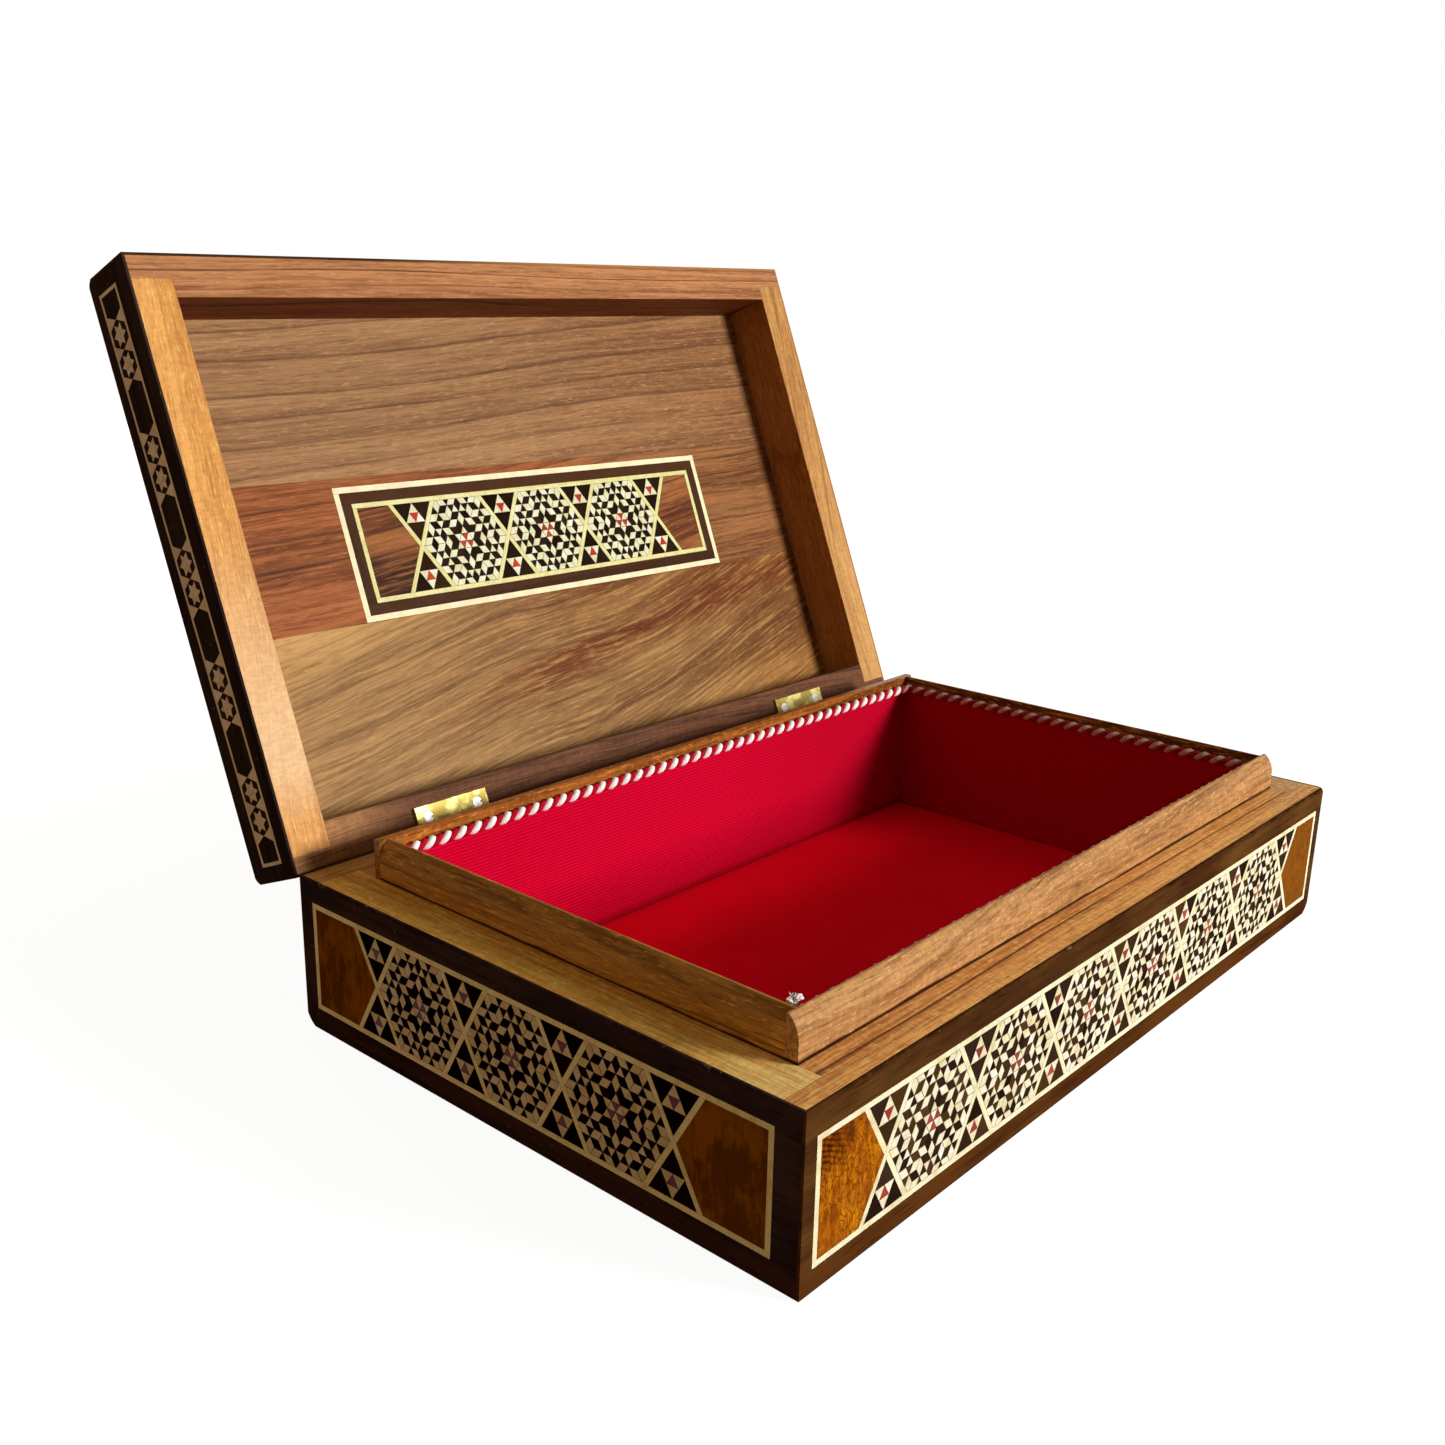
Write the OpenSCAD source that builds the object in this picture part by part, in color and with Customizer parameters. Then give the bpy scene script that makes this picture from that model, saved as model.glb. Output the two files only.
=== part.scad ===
// Inlaid wooden box: hinged lid standing open, star marquetry on every face, red cord-trimmed tray.
// X runs along the box, Y from front to back, Z up. The origin is the middle of the underside.

/* [Box] */
// Outside length of the box
box_l = 250; // [230:1:300]
// Outside depth of the box, front to back
box_w = 158; // [150:1:190]
// Height of the base without the lid
base_h = 40; // [38:0.5:60]
// Height of the lid
lid_h = 19.5; // [18:0.5:26]
// Angle of the open lid from the closed position
lid_angle = 112; // [90:1:120]

/* [Walls] */
// Thickness of the front wall of the base
front_t = 11.6; // [10:0.1:13]
// Thickness of the back wall of the base
back_t = 14.4; // [13:0.1:16]
// Thickness of the side walls of the base
side_t = 12; // [10:0.1:13]
// Thickness of the bottom board
bottom_t = 3.2; // [2.4:0.1:5]
// Thickness of the veneer on every outside face
veneer_t = 0.7; // [0.5:0.1:1]

/* [Inner strips] */
// Height of the inner strips above the rim of the base
riser_up = 10; // [6:0.5:12]
// Thickness of the front and side inner strips
riser_t = 3.2; // [2.6:0.1:4]
// Thickness of the back inner strip
riser_back_t = 2.2; // [1.8:0.1:3]
// Radius of the rounded outer edge of the inner strips
riser_round = 6.9; // [5:0.1:9]
// Clearance between the inner strips and the closed lid
lid_gap = 0.4; // [0.3:0.05:0.8]

/* [Lining] */
// Thickness of the cloth lining
lining_t = 0.7; // [0.5:0.1:1.5]
// Diameter of the twisted cord
cord_d = 2.8; // [2:0.1:3.4]
// Depth of the middle of the cord under the top of the inner strips
cord_drop = 3.4; // [3:0.1:5]

/* [Lid] */
// Thickness of the three boards of the lid
board_t = 2.4; // [2:0.1:3.2]
// Front edge of the middle board, from the front of the lid
seam_front = 57.5; // [50:0.5:58]
// Back edge of the middle board, from the front of the lid
seam_back = 98.5; // [98:0.5:106]
// Slant of the middle board and of the panel let into it
board_slant = 0.6; // [0:0.1:1]

/* [Marquetry] */
// Side of one hexagon star tile
tile_w = 15.6; // [13:0.1:16.4]
// Amount that each tile is trimmed at its top and at its bottom
tile_trim = 0.65; // [0:0.05:1.2]
// Width of the strings between the tiles
string_w = 1.4; // [1:0.1:1.8]
// Half of the glue line round each piece
glue = 0.03; // [0.02:0.01:0.05]
// Thickness of the small star pieces
piece_t = 0.3; // [0.2:0.05:0.4]
// Margin from the end of the front and back faces to the string border
margin_long = 3.7; // [3:0.1:8]
// Margin from the end of the side faces to the string border
margin_short = 6; // [4:0.1:8]
// Amount that the front and back bands sit below the middle of the face
band_drop = 0.6; // [0:0.1:1.4]
// Amount that the side bands sit toward the back
side_shift = 1.15; // [0:0.05:1.5]
// Size of the star work on the side faces against the front face
side_scale = 0.971; // [0.96:0.001:1]
// Size of the star work under the lid against the front face
medallion_scale = 0.985; // [0.97:0.001:1]
// Width of the star strip round the lid edge
strip_h = 9.6; // [8.6:0.1:10.4]
// Plain edge left at each end of the long strips
strip_end = 3.3; // [2:0.1:6]
// Plain edge left at each end of the side strips
strip_end_side = 4.7; // [3:0.1:8]
// Height of the strips' lower line above the rim of the base
strip_rise = 6; // [5:0.1:7]
// Slant of the star strips on the ends of the lid
strip_slant = 0.65; // [0:0.05:0.8]
// Length of the inlaid panel under the lid
medallion_l = 147; // [120:1:170]
// Width of the dark border of the panel under the lid
medallion_border = 3.2; // [2.4:0.1:3.6]

/* [Hinges] */
// Length of each hinge
hinge_l = 24; // [18:0.5:30]
// Distance of each hinge from the middle of the box
hinge_x = 75; // [50:1:90]
// Width of each hinge leaf in from the back face
leaf_w = 8.1; // [7:0.1:9]
// Thickness of the hinge leaves
leaf_t = 0.9; // [0.7:0.05:1]
// Outside radius of the hinge knuckles
knuckle_r = 1.5; // [1.4:0.05:1.7]
// Radius of the hinge pins
pin_r = 0.6; // [0.5:0.05:0.7]
// Running clearance round the hinge pins in the lid knuckles
pin_gap = 0.05; // [0.03:0.01:0.08]
// Distance between the two screws of a leaf
screw_pitch = 16.6; // [12:0.1:18]
// Radius of the screw shanks
screw_r = 0.85; // [0.7:0.05:0.95]
// Length of the screws
screw_l = 7; // [5:0.5:9]

/* [Hidden] */
$fn = 48;
eps = 1;
half_l = box_l / 2;
half_w = box_w / 2;
core_l = box_l - 2 * veneer_t;
core_w = box_w - 2 * veneer_t;
front_lap = 5.9;
back_lap = 7.7;
lid_front_lap = 6.5;
lid_back_lap = 5;
inner_x = half_l - side_t;
inner_y0 = front_t - half_w;
inner_y1 = half_w - back_t;
riser_top = base_h + riser_up;
tray_x = inner_x - riser_t;
tray_y0 = inner_y0 + riser_t;
tray_y1 = inner_y1 - riser_back_t;
floor_top = bottom_t + lining_t;
cord_z = riser_top - cord_drop;
cord_flat = 0.15;
tuft_r = 1.3;
rail_front_t = front_t - lid_gap;
rail_side_t = side_t - lid_gap;
rail_back_t = 11.6;
rail_h = lid_h - board_t - veneer_t;
rail_top = base_h + rail_h;
lid_top = base_h + lid_h;
unit = tile_w / 6;
bite = string_w / (2 * sin(60));
pitch = 2 * (tile_w + bite);
band_h = tile_w * sqrt(3) - 2 * tile_trim;
front_in = box_l - 2 * margin_long - 2 * string_w;
side_in = box_w - 2 * margin_short - 2 * string_w;
end_min = 14;
medallion_line = 1.75;
top_margin = margin_long + string_w;
medallion_in = medallion_l - 2 * (medallion_line + medallion_border + string_w);
medallion_h = band_h + 2 * (medallion_line + medallion_border + string_w);
medallion_y = seam_back - half_w - medallion_h / 2 - 0.1;
ground_t = veneer_t - piece_t;
strip_line = 0.9;
strip_z = base_h + strip_rise + strip_h / 2;
leaf_gap = 0.25;
pivot_y = half_w + 0.35;
pivot_z = base_h - leaf_gap - leaf_t;
knuckle_mid = hinge_l / 2;
knuckle_gap = 0.1;
turn_gap = 0.3;
screw_y = half_w - leaf_w / 2 - 0.75;
head_r = screw_r + 0.7;

// ---- placing flat work on the faces ----

// Flat work drawn as seen from outside, laid on a face with its back at the depth given
module on_front(depth) {
    translate([0, depth - half_w, 0]) rotate([90, 0, 0]) children();
}

module on_back(depth) {
    translate([0, half_w - depth, 0]) rotate([90, 0, 180]) children();
}

module on_left(depth) {
    translate([depth - half_l, 0, 0]) rotate([90, 0, -90]) children();
}

module on_right(depth) {
    translate([half_l - depth, 0, 0]) rotate([90, 0, 90]) children();
}

module on_lid_top(depth) {
    translate([0, 0, lid_top - depth]) children();
}

// Looking at the underside of the lid, its front edge is up
module on_lid_inside(depth) {
    rotate(board_slant) translate([0, medallion_y, rail_top + depth]) rotate([180, 0, 0]) children();
}

module lid_open() {
    translate([0, pivot_y, pivot_z]) rotate([-lid_angle, 0, 0]) translate([0, -pivot_y, -pivot_z]) children();
}

// Wears down the corners named by their signs in X and Y, at height z; up is 1 on a top, -1 underneath
module worn(corners, z, up, r) {
    difference() {
        children();
        for (c = corners)
            translate([c.x * half_l, c.y * half_w, z]) difference() {
                translate(-[c.x, c.y, up] * (1.5 * r - 2 * eps) / 2) cube(1.5 * r + 2 * eps, center = true);
                translate(-[c.x, c.y, up] * 2 * r) sphere(3 * r);
            }
    }
}

module worn_base() {
    worn([[1, -1], [-1, 1], [1, 1]], 0, -1, 3) worn([[1, -1]], base_h, 1, 1.4) children();
}

module worn_lid() {
    worn([[-1, -1], [1, -1], [-1, 1], [1, 1]], lid_top, 1, 1.8) children();
}

// ---- star tile: a hexagon of six sectors, each a triangle of six rows of small pieces ----

// Lattice point i of row k in the sector that starts along X
function v(k, i) = unit * [(k - i) + i / 2, i * sin(60)];

function down(k, i) = [v(k, i), v(k, i + 1), v(k - 1, i)];

function up(k, i) = [v(k - 1, i), v(k - 1, i + 1), v(k, i + 1)];

function kite(k, i) = [v(k - 1, i), v(k, i), v(k + 1, i + 1), v(k, i + 1)];

function lean(k, i) = [v(k - 1, i), v(k, i + 1), v(k, i + 2), v(k - 1, i + 1)];

function rest(k, i) = [v(k, i), v(k, i + 1), v(k - 1, i + 1), v(k - 1, i)];

// A kite across the line between two sectors
function spine(k) = [v(k - 1, 0), [v(k, 1).x, -v(k, 1).y], v(k, 0), v(k, 1)];

// One triangle or kite, drawn in by the glue line
module piece(p) {
    n = len(p);
    c = (p[0] + p[1] + p[2] + (n > 3 ? p[3] : [0, 0])) / n;
    edge = norm(p[1] - p[0]);
    s = 1 - glue / (edge * (n > 3 ? sin(60) : tan(30)) / 2);
    polygon([for (q = p) c + (q - c) * s]);
}

module sectors(first, step) {
    for (s = [first:step:5])
        rotate(60 * s) children();
}

// turn is 1 where the red points of the centre star point down, 0 where they point up
module tile_light(turn) {
    sectors(0, 1) {
        piece(kite(3, 1));
        piece(spine(3));
        piece(kite(4, 0));
        piece(kite(4, 3));
        piece(up(5, 1));
        piece(up(5, 2));
        piece(rest(6, 0));
        piece(lean(6, 4));
        piece(lean(6, 1));
        piece(rest(6, 3));
    }
    sectors(turn, 2) piece(up(2, 0));
    sectors(1 - turn, 2) piece(kite(1, 0));
}

module tile_red(turn) {
    sectors(turn, 2) piece(down(1, 0));
}

// ---- band: strings, tiles, triangle fields and end panels inside a border w long and h high ----

function tiles_in(w) = floor((w - 2 * end_min) / pitch);

function cross_x(w, j) = (j - tiles_in(w) / 2) * pitch;

// Half width of an opening between two crossed strings, at a height over the crossing
function spread(y) = (y - string_w) / tan(60);

module border(w, h, t) {
    for (s = [-1, 1]) {
        translate([0, s * (h + t) / 2]) square([w + 2 * t - 2 * glue, t - 2 * glue], center = true);
        translate([s * (w + t) / 2, 0]) square([t - 2 * glue, h - 2 * glue], center = true);
    }
}

// Two crossed strings: one runs through, the other is in two pieces that butt against it
module crossing(h) {
    g = glue / sin(60);
    y = h / 2 - glue;
    tip = y / tan(60);
    polygon([[g - tip - bite, -y], [bite - g - tip, -y], [tip + bite - g, y], [tip - bite + g, y]]);
    for (s = [0, 180])
        rotate(s) polygon([[-bite, g * tan(60)], [-g, string_w], [bite - g - tip, y], [g - bite - tip, y]]);
}

module band_strings(w, h, k) {
    border(w, h, string_w);
    scale([k, k]) for (j = [0:tiles_in(w / k)])
        translate([cross_x(w / k, j), 0]) crossing(h / k);
}

// The triangle field over a crossing and the one under it
module fields(w, h) {
    for (j = [0:tiles_in(w)], s = [0, 180])
        translate([cross_x(w, j), 0]) rotate(s) children();
}

// A row of tiles; plain lists the ones with a red point down, and the others stand turned over
module tile_row(w, h, plain) {
    n = tiles_in(w);
    intersection() {
        square([n * pitch, h - 2 * glue], center = true);
        for (j = [0:n - 1])
            translate([(j - (n - 1) / 2) * pitch, 0])
                rotate(len([for (k = plain) if (k == j) k]) > 0 ? 0 : 180) children();
    }
}

// Small triangle k of the four that fill the middle of a field; 3 is the one in the centre
function field_piece(h, k) = let (
    b = spread(h / 2) / 2,
    tall = b * tan(60),
    p = [[0, h / 2], [-b, h / 2 - tall], [b, h / 2 - tall]],
    q = [(p[0] + p[1]) / 2, (p[1] + p[2]) / 2, (p[2] + p[0]) / 2])
    k == 3 ? q : [p[k], q[k], q[(k + 2) % 3]];

module band_light(w, h, k, plain) {
    scale([k, k]) {
        tile_row(w / k, h / k, plain) tile_light(0);
        intersection() {
            square([w / k, h / k - 2 * glue], center = true);
            fields(w / k, h / k) for (i = [0:2]) piece(field_piece(h / k, i));
        }
    }
}

module band_red(w, h, k, plain) {
    scale([k, k]) {
        tile_row(w / k, h / k, plain) tile_red(0);
        fields(w / k, h / k) piece(field_piece(h / k, 3));
    }
}

// The dark ground that the tile and field pieces stand on
module band_dark(w, h, k) {
    b = spread(h / k / 2);
    y = h / k / 2 - glue;
    scale([k, k]) {
        tile_row(w / k, h / k, []) circle(tile_w - 2 * glue, $fn = 6);
        fields(w / k, h / k) polygon([[0, string_w + 2 * glue], [b - 2 * glue, y], [2 * glue - b, y]]);
    }
}

module band_panels(w, h, k) {
    y = h / k / 2 - glue;
    x = (w / k - tiles_in(w / k) * pitch) / 2 - bite - glue;
    tip = h / k / 2 / tan(60);
    scale([k, k]) for (s = [0, 180])
        rotate(s) translate([-w / k / 2, 0])
            polygon([[glue, -y], [x - tip, -y], [x - glue, 0], [x - tip, y], [glue, y]]);
}

// ---- base ----

// A wall with a lap at both ends: the outer part runs the full length
module lapped_wall(t, lap, short, z0, z1) {
    translate([0, 0, z0]) linear_extrude(z1 - z0)
        polygon([[-core_l / 2, veneer_t], [core_l / 2, veneer_t], [core_l / 2, lap], [half_l - short, lap],
            [half_l - short, t], [short - half_l, t], [short - half_l, lap], [-core_l / 2, lap]]);
}

module hinge_places() {
    for (s = [-1, 1])
        translate([s * hinge_x, 0, 0]) children();
}

module screw_places() {
    for (s = [-1, 1])
        translate([s * screw_pitch / 2, screw_y, 0]) children();
}

// Round room for the knuckles
module knuckle_room() {
    translate([0, pivot_y, pivot_z]) rotate([0, 90, 0])
        cylinder(r = knuckle_r + turn_gap, h = hinge_l + 0.6, center = true);
}

// Room for both closed leaves, cut in the top of the back wall
module leaf_room() {
    translate([-hinge_l / 2 - 0.2, half_w - leaf_w - 0.2, pivot_z - leaf_gap - leaf_t])
        cube([hinge_l + 0.4, leaf_w + 0.2 + eps, riser_up]);
    knuckle_room();
}

module wall_front() {
    color("peru") worn_base()
        translate([0, -half_w, 0]) lapped_wall(front_t, front_lap, side_t, bottom_t, base_h);
}

module wall_back() {
    color("peru") difference() {
        translate([0, half_w, 0]) mirror([0, 1, 0]) lapped_wall(back_t, back_lap, side_t, bottom_t, base_h);
        hinge_places() {
            leaf_room();
            screw_places() translate([0, 0, pivot_z - leaf_gap - screw_l]) cylinder(r = screw_r, h = screw_l);
        }
    }
}

module side_wall() {
    translate([veneer_t - half_l, front_lap - half_w, bottom_t])
        cube([side_t - veneer_t, box_w - front_lap - back_lap, base_h - bottom_t]);
}

module wall_left() {
    color("peru") side_wall();
}

module wall_right() {
    color("peru") mirror([1, 0, 0]) side_wall();
}

module bottom_board() {
    color("saddlebrown") worn_base()
        translate([-core_l / 2, -core_w / 2, 0]) cube([core_l, core_w, bottom_t]);
}

// Section of an inner strip: outer face at zero, rounded over at the top
module riser_section(t) {
    intersection() {
        translate([0, bottom_t]) square([t, riser_top - bottom_t]);
        union() {
            square([2 * t, riser_top - riser_round * 0.78]);
            translate([riser_round, riser_top - riser_round * 0.78]) circle(riser_round);
        }
    }
}

module riser_front() {
    color("burlywood") translate([-inner_x, inner_y0, 0]) rotate([90, 0, 90])
        linear_extrude(2 * inner_x) riser_section(riser_t);
}

module riser_back() {
    color("burlywood") translate([-inner_x, tray_y1, bottom_t])
        cube([2 * inner_x, riser_back_t, riser_top - bottom_t]);
}

module riser_side() {
    translate([-inner_x, tray_y1, 0]) rotate([90, 0, 0])
        linear_extrude(tray_y1 - tray_y0) riser_section(riser_t);
}

module riser_left() {
    color("burlywood") riser_side();
}

module riser_right() {
    color("burlywood") mirror([1, 0, 0]) riser_side();
}

// ---- lining and cord ----

// A block filling the tray to a set distance from the inner strips
module tray_block(inset, z0, z1) {
    translate([inset - tray_x, tray_y0 + inset, z0])
        cube([2 * (tray_x - inset), tray_y1 - tray_y0 - 2 * inset, z1 - z0]);
}

module lining_walls() {
    color("crimson") difference() {
        tray_block(0, bottom_t, cord_z + 0.5);
        tray_block(lining_t, bottom_t - eps, riser_top);
    }
}

module lining_floor() {
    color("darkred") tray_block(lining_t, bottom_t, floor_top);
}

module trim_cord() {
    r = cord_d / 2;
    inset = lining_t + r - cord_flat;
    bend = r + 0.6;
    x = tray_x - inset;
    y0 = tray_y0 + inset;
    y1 = tray_y1 - inset;
    color("firebrick") difference() {
        translate([0, 0, cord_z]) {
            for (y = [y0, y1])
                translate([0, y, 0]) rotate([0, 90, 0]) cylinder(r = r, h = 2 * (x - bend), center = true);
            for (s = [-1, 1])
                translate([s * x, (y0 + y1) / 2, 0]) rotate([90, 0, 0])
                    cylinder(r = r, h = y1 - y0 - 2 * bend, center = true);
            for (c = [[x, y1, 0], [-x, y1, 90], [-x, y0, 180], [x, y0, 270]])
                translate([c[0], c[1], 0]) rotate(c[2]) translate([-bend, -bend, 0])
                    rotate_extrude(angle = 90) translate([bend, 0]) circle(r);
        }
        difference() {
            tray_block(-eps, cord_z - cord_d, cord_z + cord_d);
            tray_block(lining_t, cord_z - 2 * cord_d, cord_z + 2 * cord_d);
        }
        tuft_place() cylinder(r = tuft_r + 0.05, h = cord_d);
    }
}

module tuft_place() {
    translate([-tray_x + lining_t + 2 * tuft_r, tray_y0 + lining_t + 2 * tuft_r, cord_z + cord_d / 2 - 0.35])
        children();
}

// The frayed end of the cord in the front left corner
module trim_tuft() {
    color("white") tuft_place() cylinder(r1 = tuft_r, r2 = tuft_r * 0.7, h = 1.8);
}

// ---- base marquetry ----

module veneer_sheet(len) {
    linear_extrude(veneer_t) difference() {
        translate([-len / 2, 0]) square([len, base_h]);
        children();
    }
}

// Middle of the band on a long face and on a short face
module at_long() {
    translate([0, base_h / 2 - band_drop]) children();
}

module at_short() {
    translate([-side_shift, base_h / 2]) children();
}

module band_room(w) {
    square([w + 2 * string_w, band_h + 2 * string_w], center = true);
}

module long_sheet() {
    veneer_sheet(box_l) at_long() band_room(front_in);
}

module short_sheet() {
    veneer_sheet(core_w) at_short() band_room(side_in);
}

module veneer_front() {
    color("sienna") worn_base() on_front(veneer_t) long_sheet();
}

module veneer_back() {
    color("sienna") worn_base() difference() {
        on_back(veneer_t) long_sheet();
        hinge_places() leaf_room();
    }
}

module veneer_left() {
    color("sienna") worn_base() on_left(veneer_t) short_sheet();
}

module veneer_right() {
    color("sienna") worn_base() on_right(veneer_t) short_sheet();
}

module strings_front() {
    color("khaki")
        on_front(veneer_t) linear_extrude(veneer_t) at_long() band_strings(front_in, band_h, 1);
}

module strings_back() {
    color("khaki")
        on_back(veneer_t) linear_extrude(veneer_t) at_long() band_strings(front_in, band_h, 1);
}

module strings_left() {
    color("khaki")
        on_left(veneer_t) linear_extrude(veneer_t) at_short() mirror([1, 0]) band_strings(side_in, band_h, side_scale);
}

module strings_right() {
    color("khaki")
        on_right(veneer_t) linear_extrude(veneer_t) at_short() mirror([1, 0]) band_strings(side_in, band_h, side_scale);
}

module dark_front() {
    color("saddlebrown")
        on_front(veneer_t) linear_extrude(ground_t) at_long() band_dark(front_in, band_h, 1);
}

module dark_back() {
    color("saddlebrown")
        on_back(veneer_t) linear_extrude(ground_t) at_long() band_dark(front_in, band_h, 1);
}

module dark_left() {
    color("saddlebrown")
        on_left(veneer_t) linear_extrude(ground_t) at_short() band_dark(side_in, band_h, side_scale);
}

module dark_right() {
    color("saddlebrown")
        on_right(veneer_t) linear_extrude(ground_t) at_short() band_dark(side_in, band_h, side_scale);
}

module light_front() {
    color("ivory")
        on_front(piece_t) linear_extrude(piece_t) at_long() band_light(front_in, band_h, 1, [0]);
}

module light_back() {
    color("ivory")
        on_back(piece_t) linear_extrude(piece_t) at_long() band_light(front_in, band_h, 1, [0]);
}

module light_left() {
    color("ivory")
        on_left(piece_t) linear_extrude(piece_t) at_short() band_light(side_in, band_h, side_scale, [0, 1]);
}

module light_right() {
    color("ivory")
        on_right(piece_t) linear_extrude(piece_t) at_short() band_light(side_in, band_h, side_scale, [0, 1]);
}

module red_base() {
    color("red") {
        on_front(piece_t) linear_extrude(piece_t) at_long() band_red(front_in, band_h, 1, [0]);
        on_back(piece_t) linear_extrude(piece_t) at_long() band_red(front_in, band_h, 1, [0]);
        on_left(piece_t) linear_extrude(piece_t) at_short() band_red(side_in, band_h, side_scale, [0, 1]);
        on_right(piece_t) linear_extrude(piece_t) at_short() band_red(side_in, band_h, side_scale, [0, 1]);
    }
}

module panels_base() {
    color("darkorange") {
        on_front(veneer_t) linear_extrude(veneer_t) at_long() band_panels(front_in, band_h, 1);
        on_back(veneer_t) linear_extrude(veneer_t) at_long() band_panels(front_in, band_h, 1);
        on_left(veneer_t) linear_extrude(veneer_t) at_short() band_panels(side_in, band_h, side_scale);
        on_right(veneer_t) linear_extrude(veneer_t) at_short() band_panels(side_in, band_h, side_scale);
    }
}

// ---- hinges ----

// Plate of a leaf at x from x0 to x1, reaching back to y1
module leaf_plate(x0, x1, y1, z0) {
    translate([x0, half_w - leaf_w, z0]) cube([x1 - x0, y1 - half_w + leaf_w, leaf_t]);
}

module barrel(x0, x1, r) {
    translate([x0, pivot_y, pivot_z]) rotate([0, 90, 0]) cylinder(r = r, h = x1 - x0);
}

// A countersunk screw with its head face up at zero
module screw() {
    difference() {
        union() {
            translate([0, 0, -0.7]) cylinder(r1 = screw_r, r2 = head_r, h = 0.7);
            translate([0, 0, -screw_l]) cylinder(r = screw_r, h = screw_l - 0.7);
        }
        translate([-head_r - 1, -0.22, -0.35]) cube([2 * head_r + 2, 0.44, 1]);
    }
}

// The same outline without its slot, to cut the leaf
module screw_hole() {
    translate([0, 0, -0.7]) cylinder(r1 = screw_r, r2 = head_r, h = 0.7);
    translate([0, 0, -screw_l]) cylinder(r = screw_r, h = screw_l - 0.7);
}

module leaf_base() {
    z0 = pivot_z - leaf_gap - leaf_t;
    difference() {
        union() {
            leaf_plate(-hinge_l / 2, hinge_l / 2, pivot_y - knuckle_r - turn_gap, z0);
            leaf_plate(-hinge_l / 2, -knuckle_mid / 2 - knuckle_gap, pivot_y, z0);
            leaf_plate(knuckle_mid / 2 + knuckle_gap, hinge_l / 2, pivot_y, z0);
            barrel(-hinge_l / 2, -knuckle_mid / 2 - knuckle_gap, knuckle_r);
            barrel(knuckle_mid / 2 + knuckle_gap, hinge_l / 2, knuckle_r);
        }
        barrel(-hinge_l, hinge_l, pin_r);
        screw_places() translate([0, 0, pivot_z - leaf_gap]) screw_hole();
    }
}

module leaf_lid() {
    difference() {
        union() {
            leaf_plate(-hinge_l / 2, hinge_l / 2, pivot_y - knuckle_r - turn_gap, pivot_z + leaf_gap);
            leaf_plate(-knuckle_mid / 2, knuckle_mid / 2, pivot_y, pivot_z + leaf_gap);
            barrel(-knuckle_mid / 2, knuckle_mid / 2, knuckle_r);
        }
        barrel(-hinge_l, hinge_l, pin_r + pin_gap);
        screw_places() translate([0, 0, pivot_z + leaf_gap]) mirror([0, 0, 1]) screw_hole();
    }
}

module hinge_leaf_base_left() {
    color("gold") translate([-hinge_x, 0, 0]) leaf_base();
}

module hinge_leaf_base_right() {
    color("gold") translate([hinge_x, 0, 0]) leaf_base();
}

module hinge_leaf_lid_left() {
    color("gold") lid_open() translate([-hinge_x, 0, 0]) leaf_lid();
}

module hinge_leaf_lid_right() {
    color("gold") lid_open() translate([hinge_x, 0, 0]) leaf_lid();
}

module hinge_pins() {
    color("silver") hinge_places() barrel(-hinge_l / 2, hinge_l / 2, pin_r);
}

module screws_base() {
    color("silver") hinge_places() screw_places() translate([0, 0, pivot_z - leaf_gap]) screw();
}

module screws_lid() {
    color("silver") lid_open() hinge_places() screw_places()
        translate([0, 0, pivot_z + leaf_gap]) mirror([0, 0, 1]) screw();
}

// ---- lid ----

module lid_rail_front() {
    color("peru") lid_open()
        translate([0, -half_w, 0]) lapped_wall(rail_front_t, lid_front_lap, rail_side_t, base_h, rail_top);
}

module lid_rail_back() {
    color("peru") lid_open() difference() {
        translate([0, half_w, 0]) mirror([0, 1, 0])
            lapped_wall(rail_back_t, lid_back_lap, rail_side_t, base_h, rail_top);
        hinge_places() {
            knuckle_room();
            screw_places() translate([0, 0, pivot_z + leaf_gap]) cylinder(r = screw_r, h = screw_l);
        }
    }
}

module lid_side_rail() {
    translate([veneer_t - half_l, lid_front_lap - half_w, base_h])
        cube([rail_side_t - veneer_t, box_w - lid_front_lap - lid_back_lap, rail_h]);
}

module lid_rail_left() {
    color("peru") lid_open() lid_side_rail();
}

module lid_rail_right() {
    color("peru") lid_open() mirror([1, 0, 0]) lid_side_rail();
}

// One board of the lid, between two distances from its front
module lid_board(y0, y1) {
    translate([0, 0, rail_top]) linear_extrude(board_t) intersection() {
        square([core_l, core_w], center = true);
        rotate(board_slant) translate([-box_l, y0 - half_w]) square([2 * box_l, y1 - y0]);
    }
}

module lid_board_front() {
    color("sienna") lid_open() lid_board(-half_w, seam_front);
}

module lid_board_middle() {
    color("sienna") lid_open() difference() {
        lid_board(seam_front, seam_back);
        on_lid_inside(veneer_t) linear_extrude(veneer_t + eps) square([medallion_l, medallion_h], center = true);
    }
}

module lid_board_rear() {
    color("sienna") lid_open() lid_board(seam_back, box_w + half_w);
}

// Six-point star and the hexagon round it
module star(r) {
    circle(r, $fn = 3);
    rotate(180) circle(r, $fn = 3);
}

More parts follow.
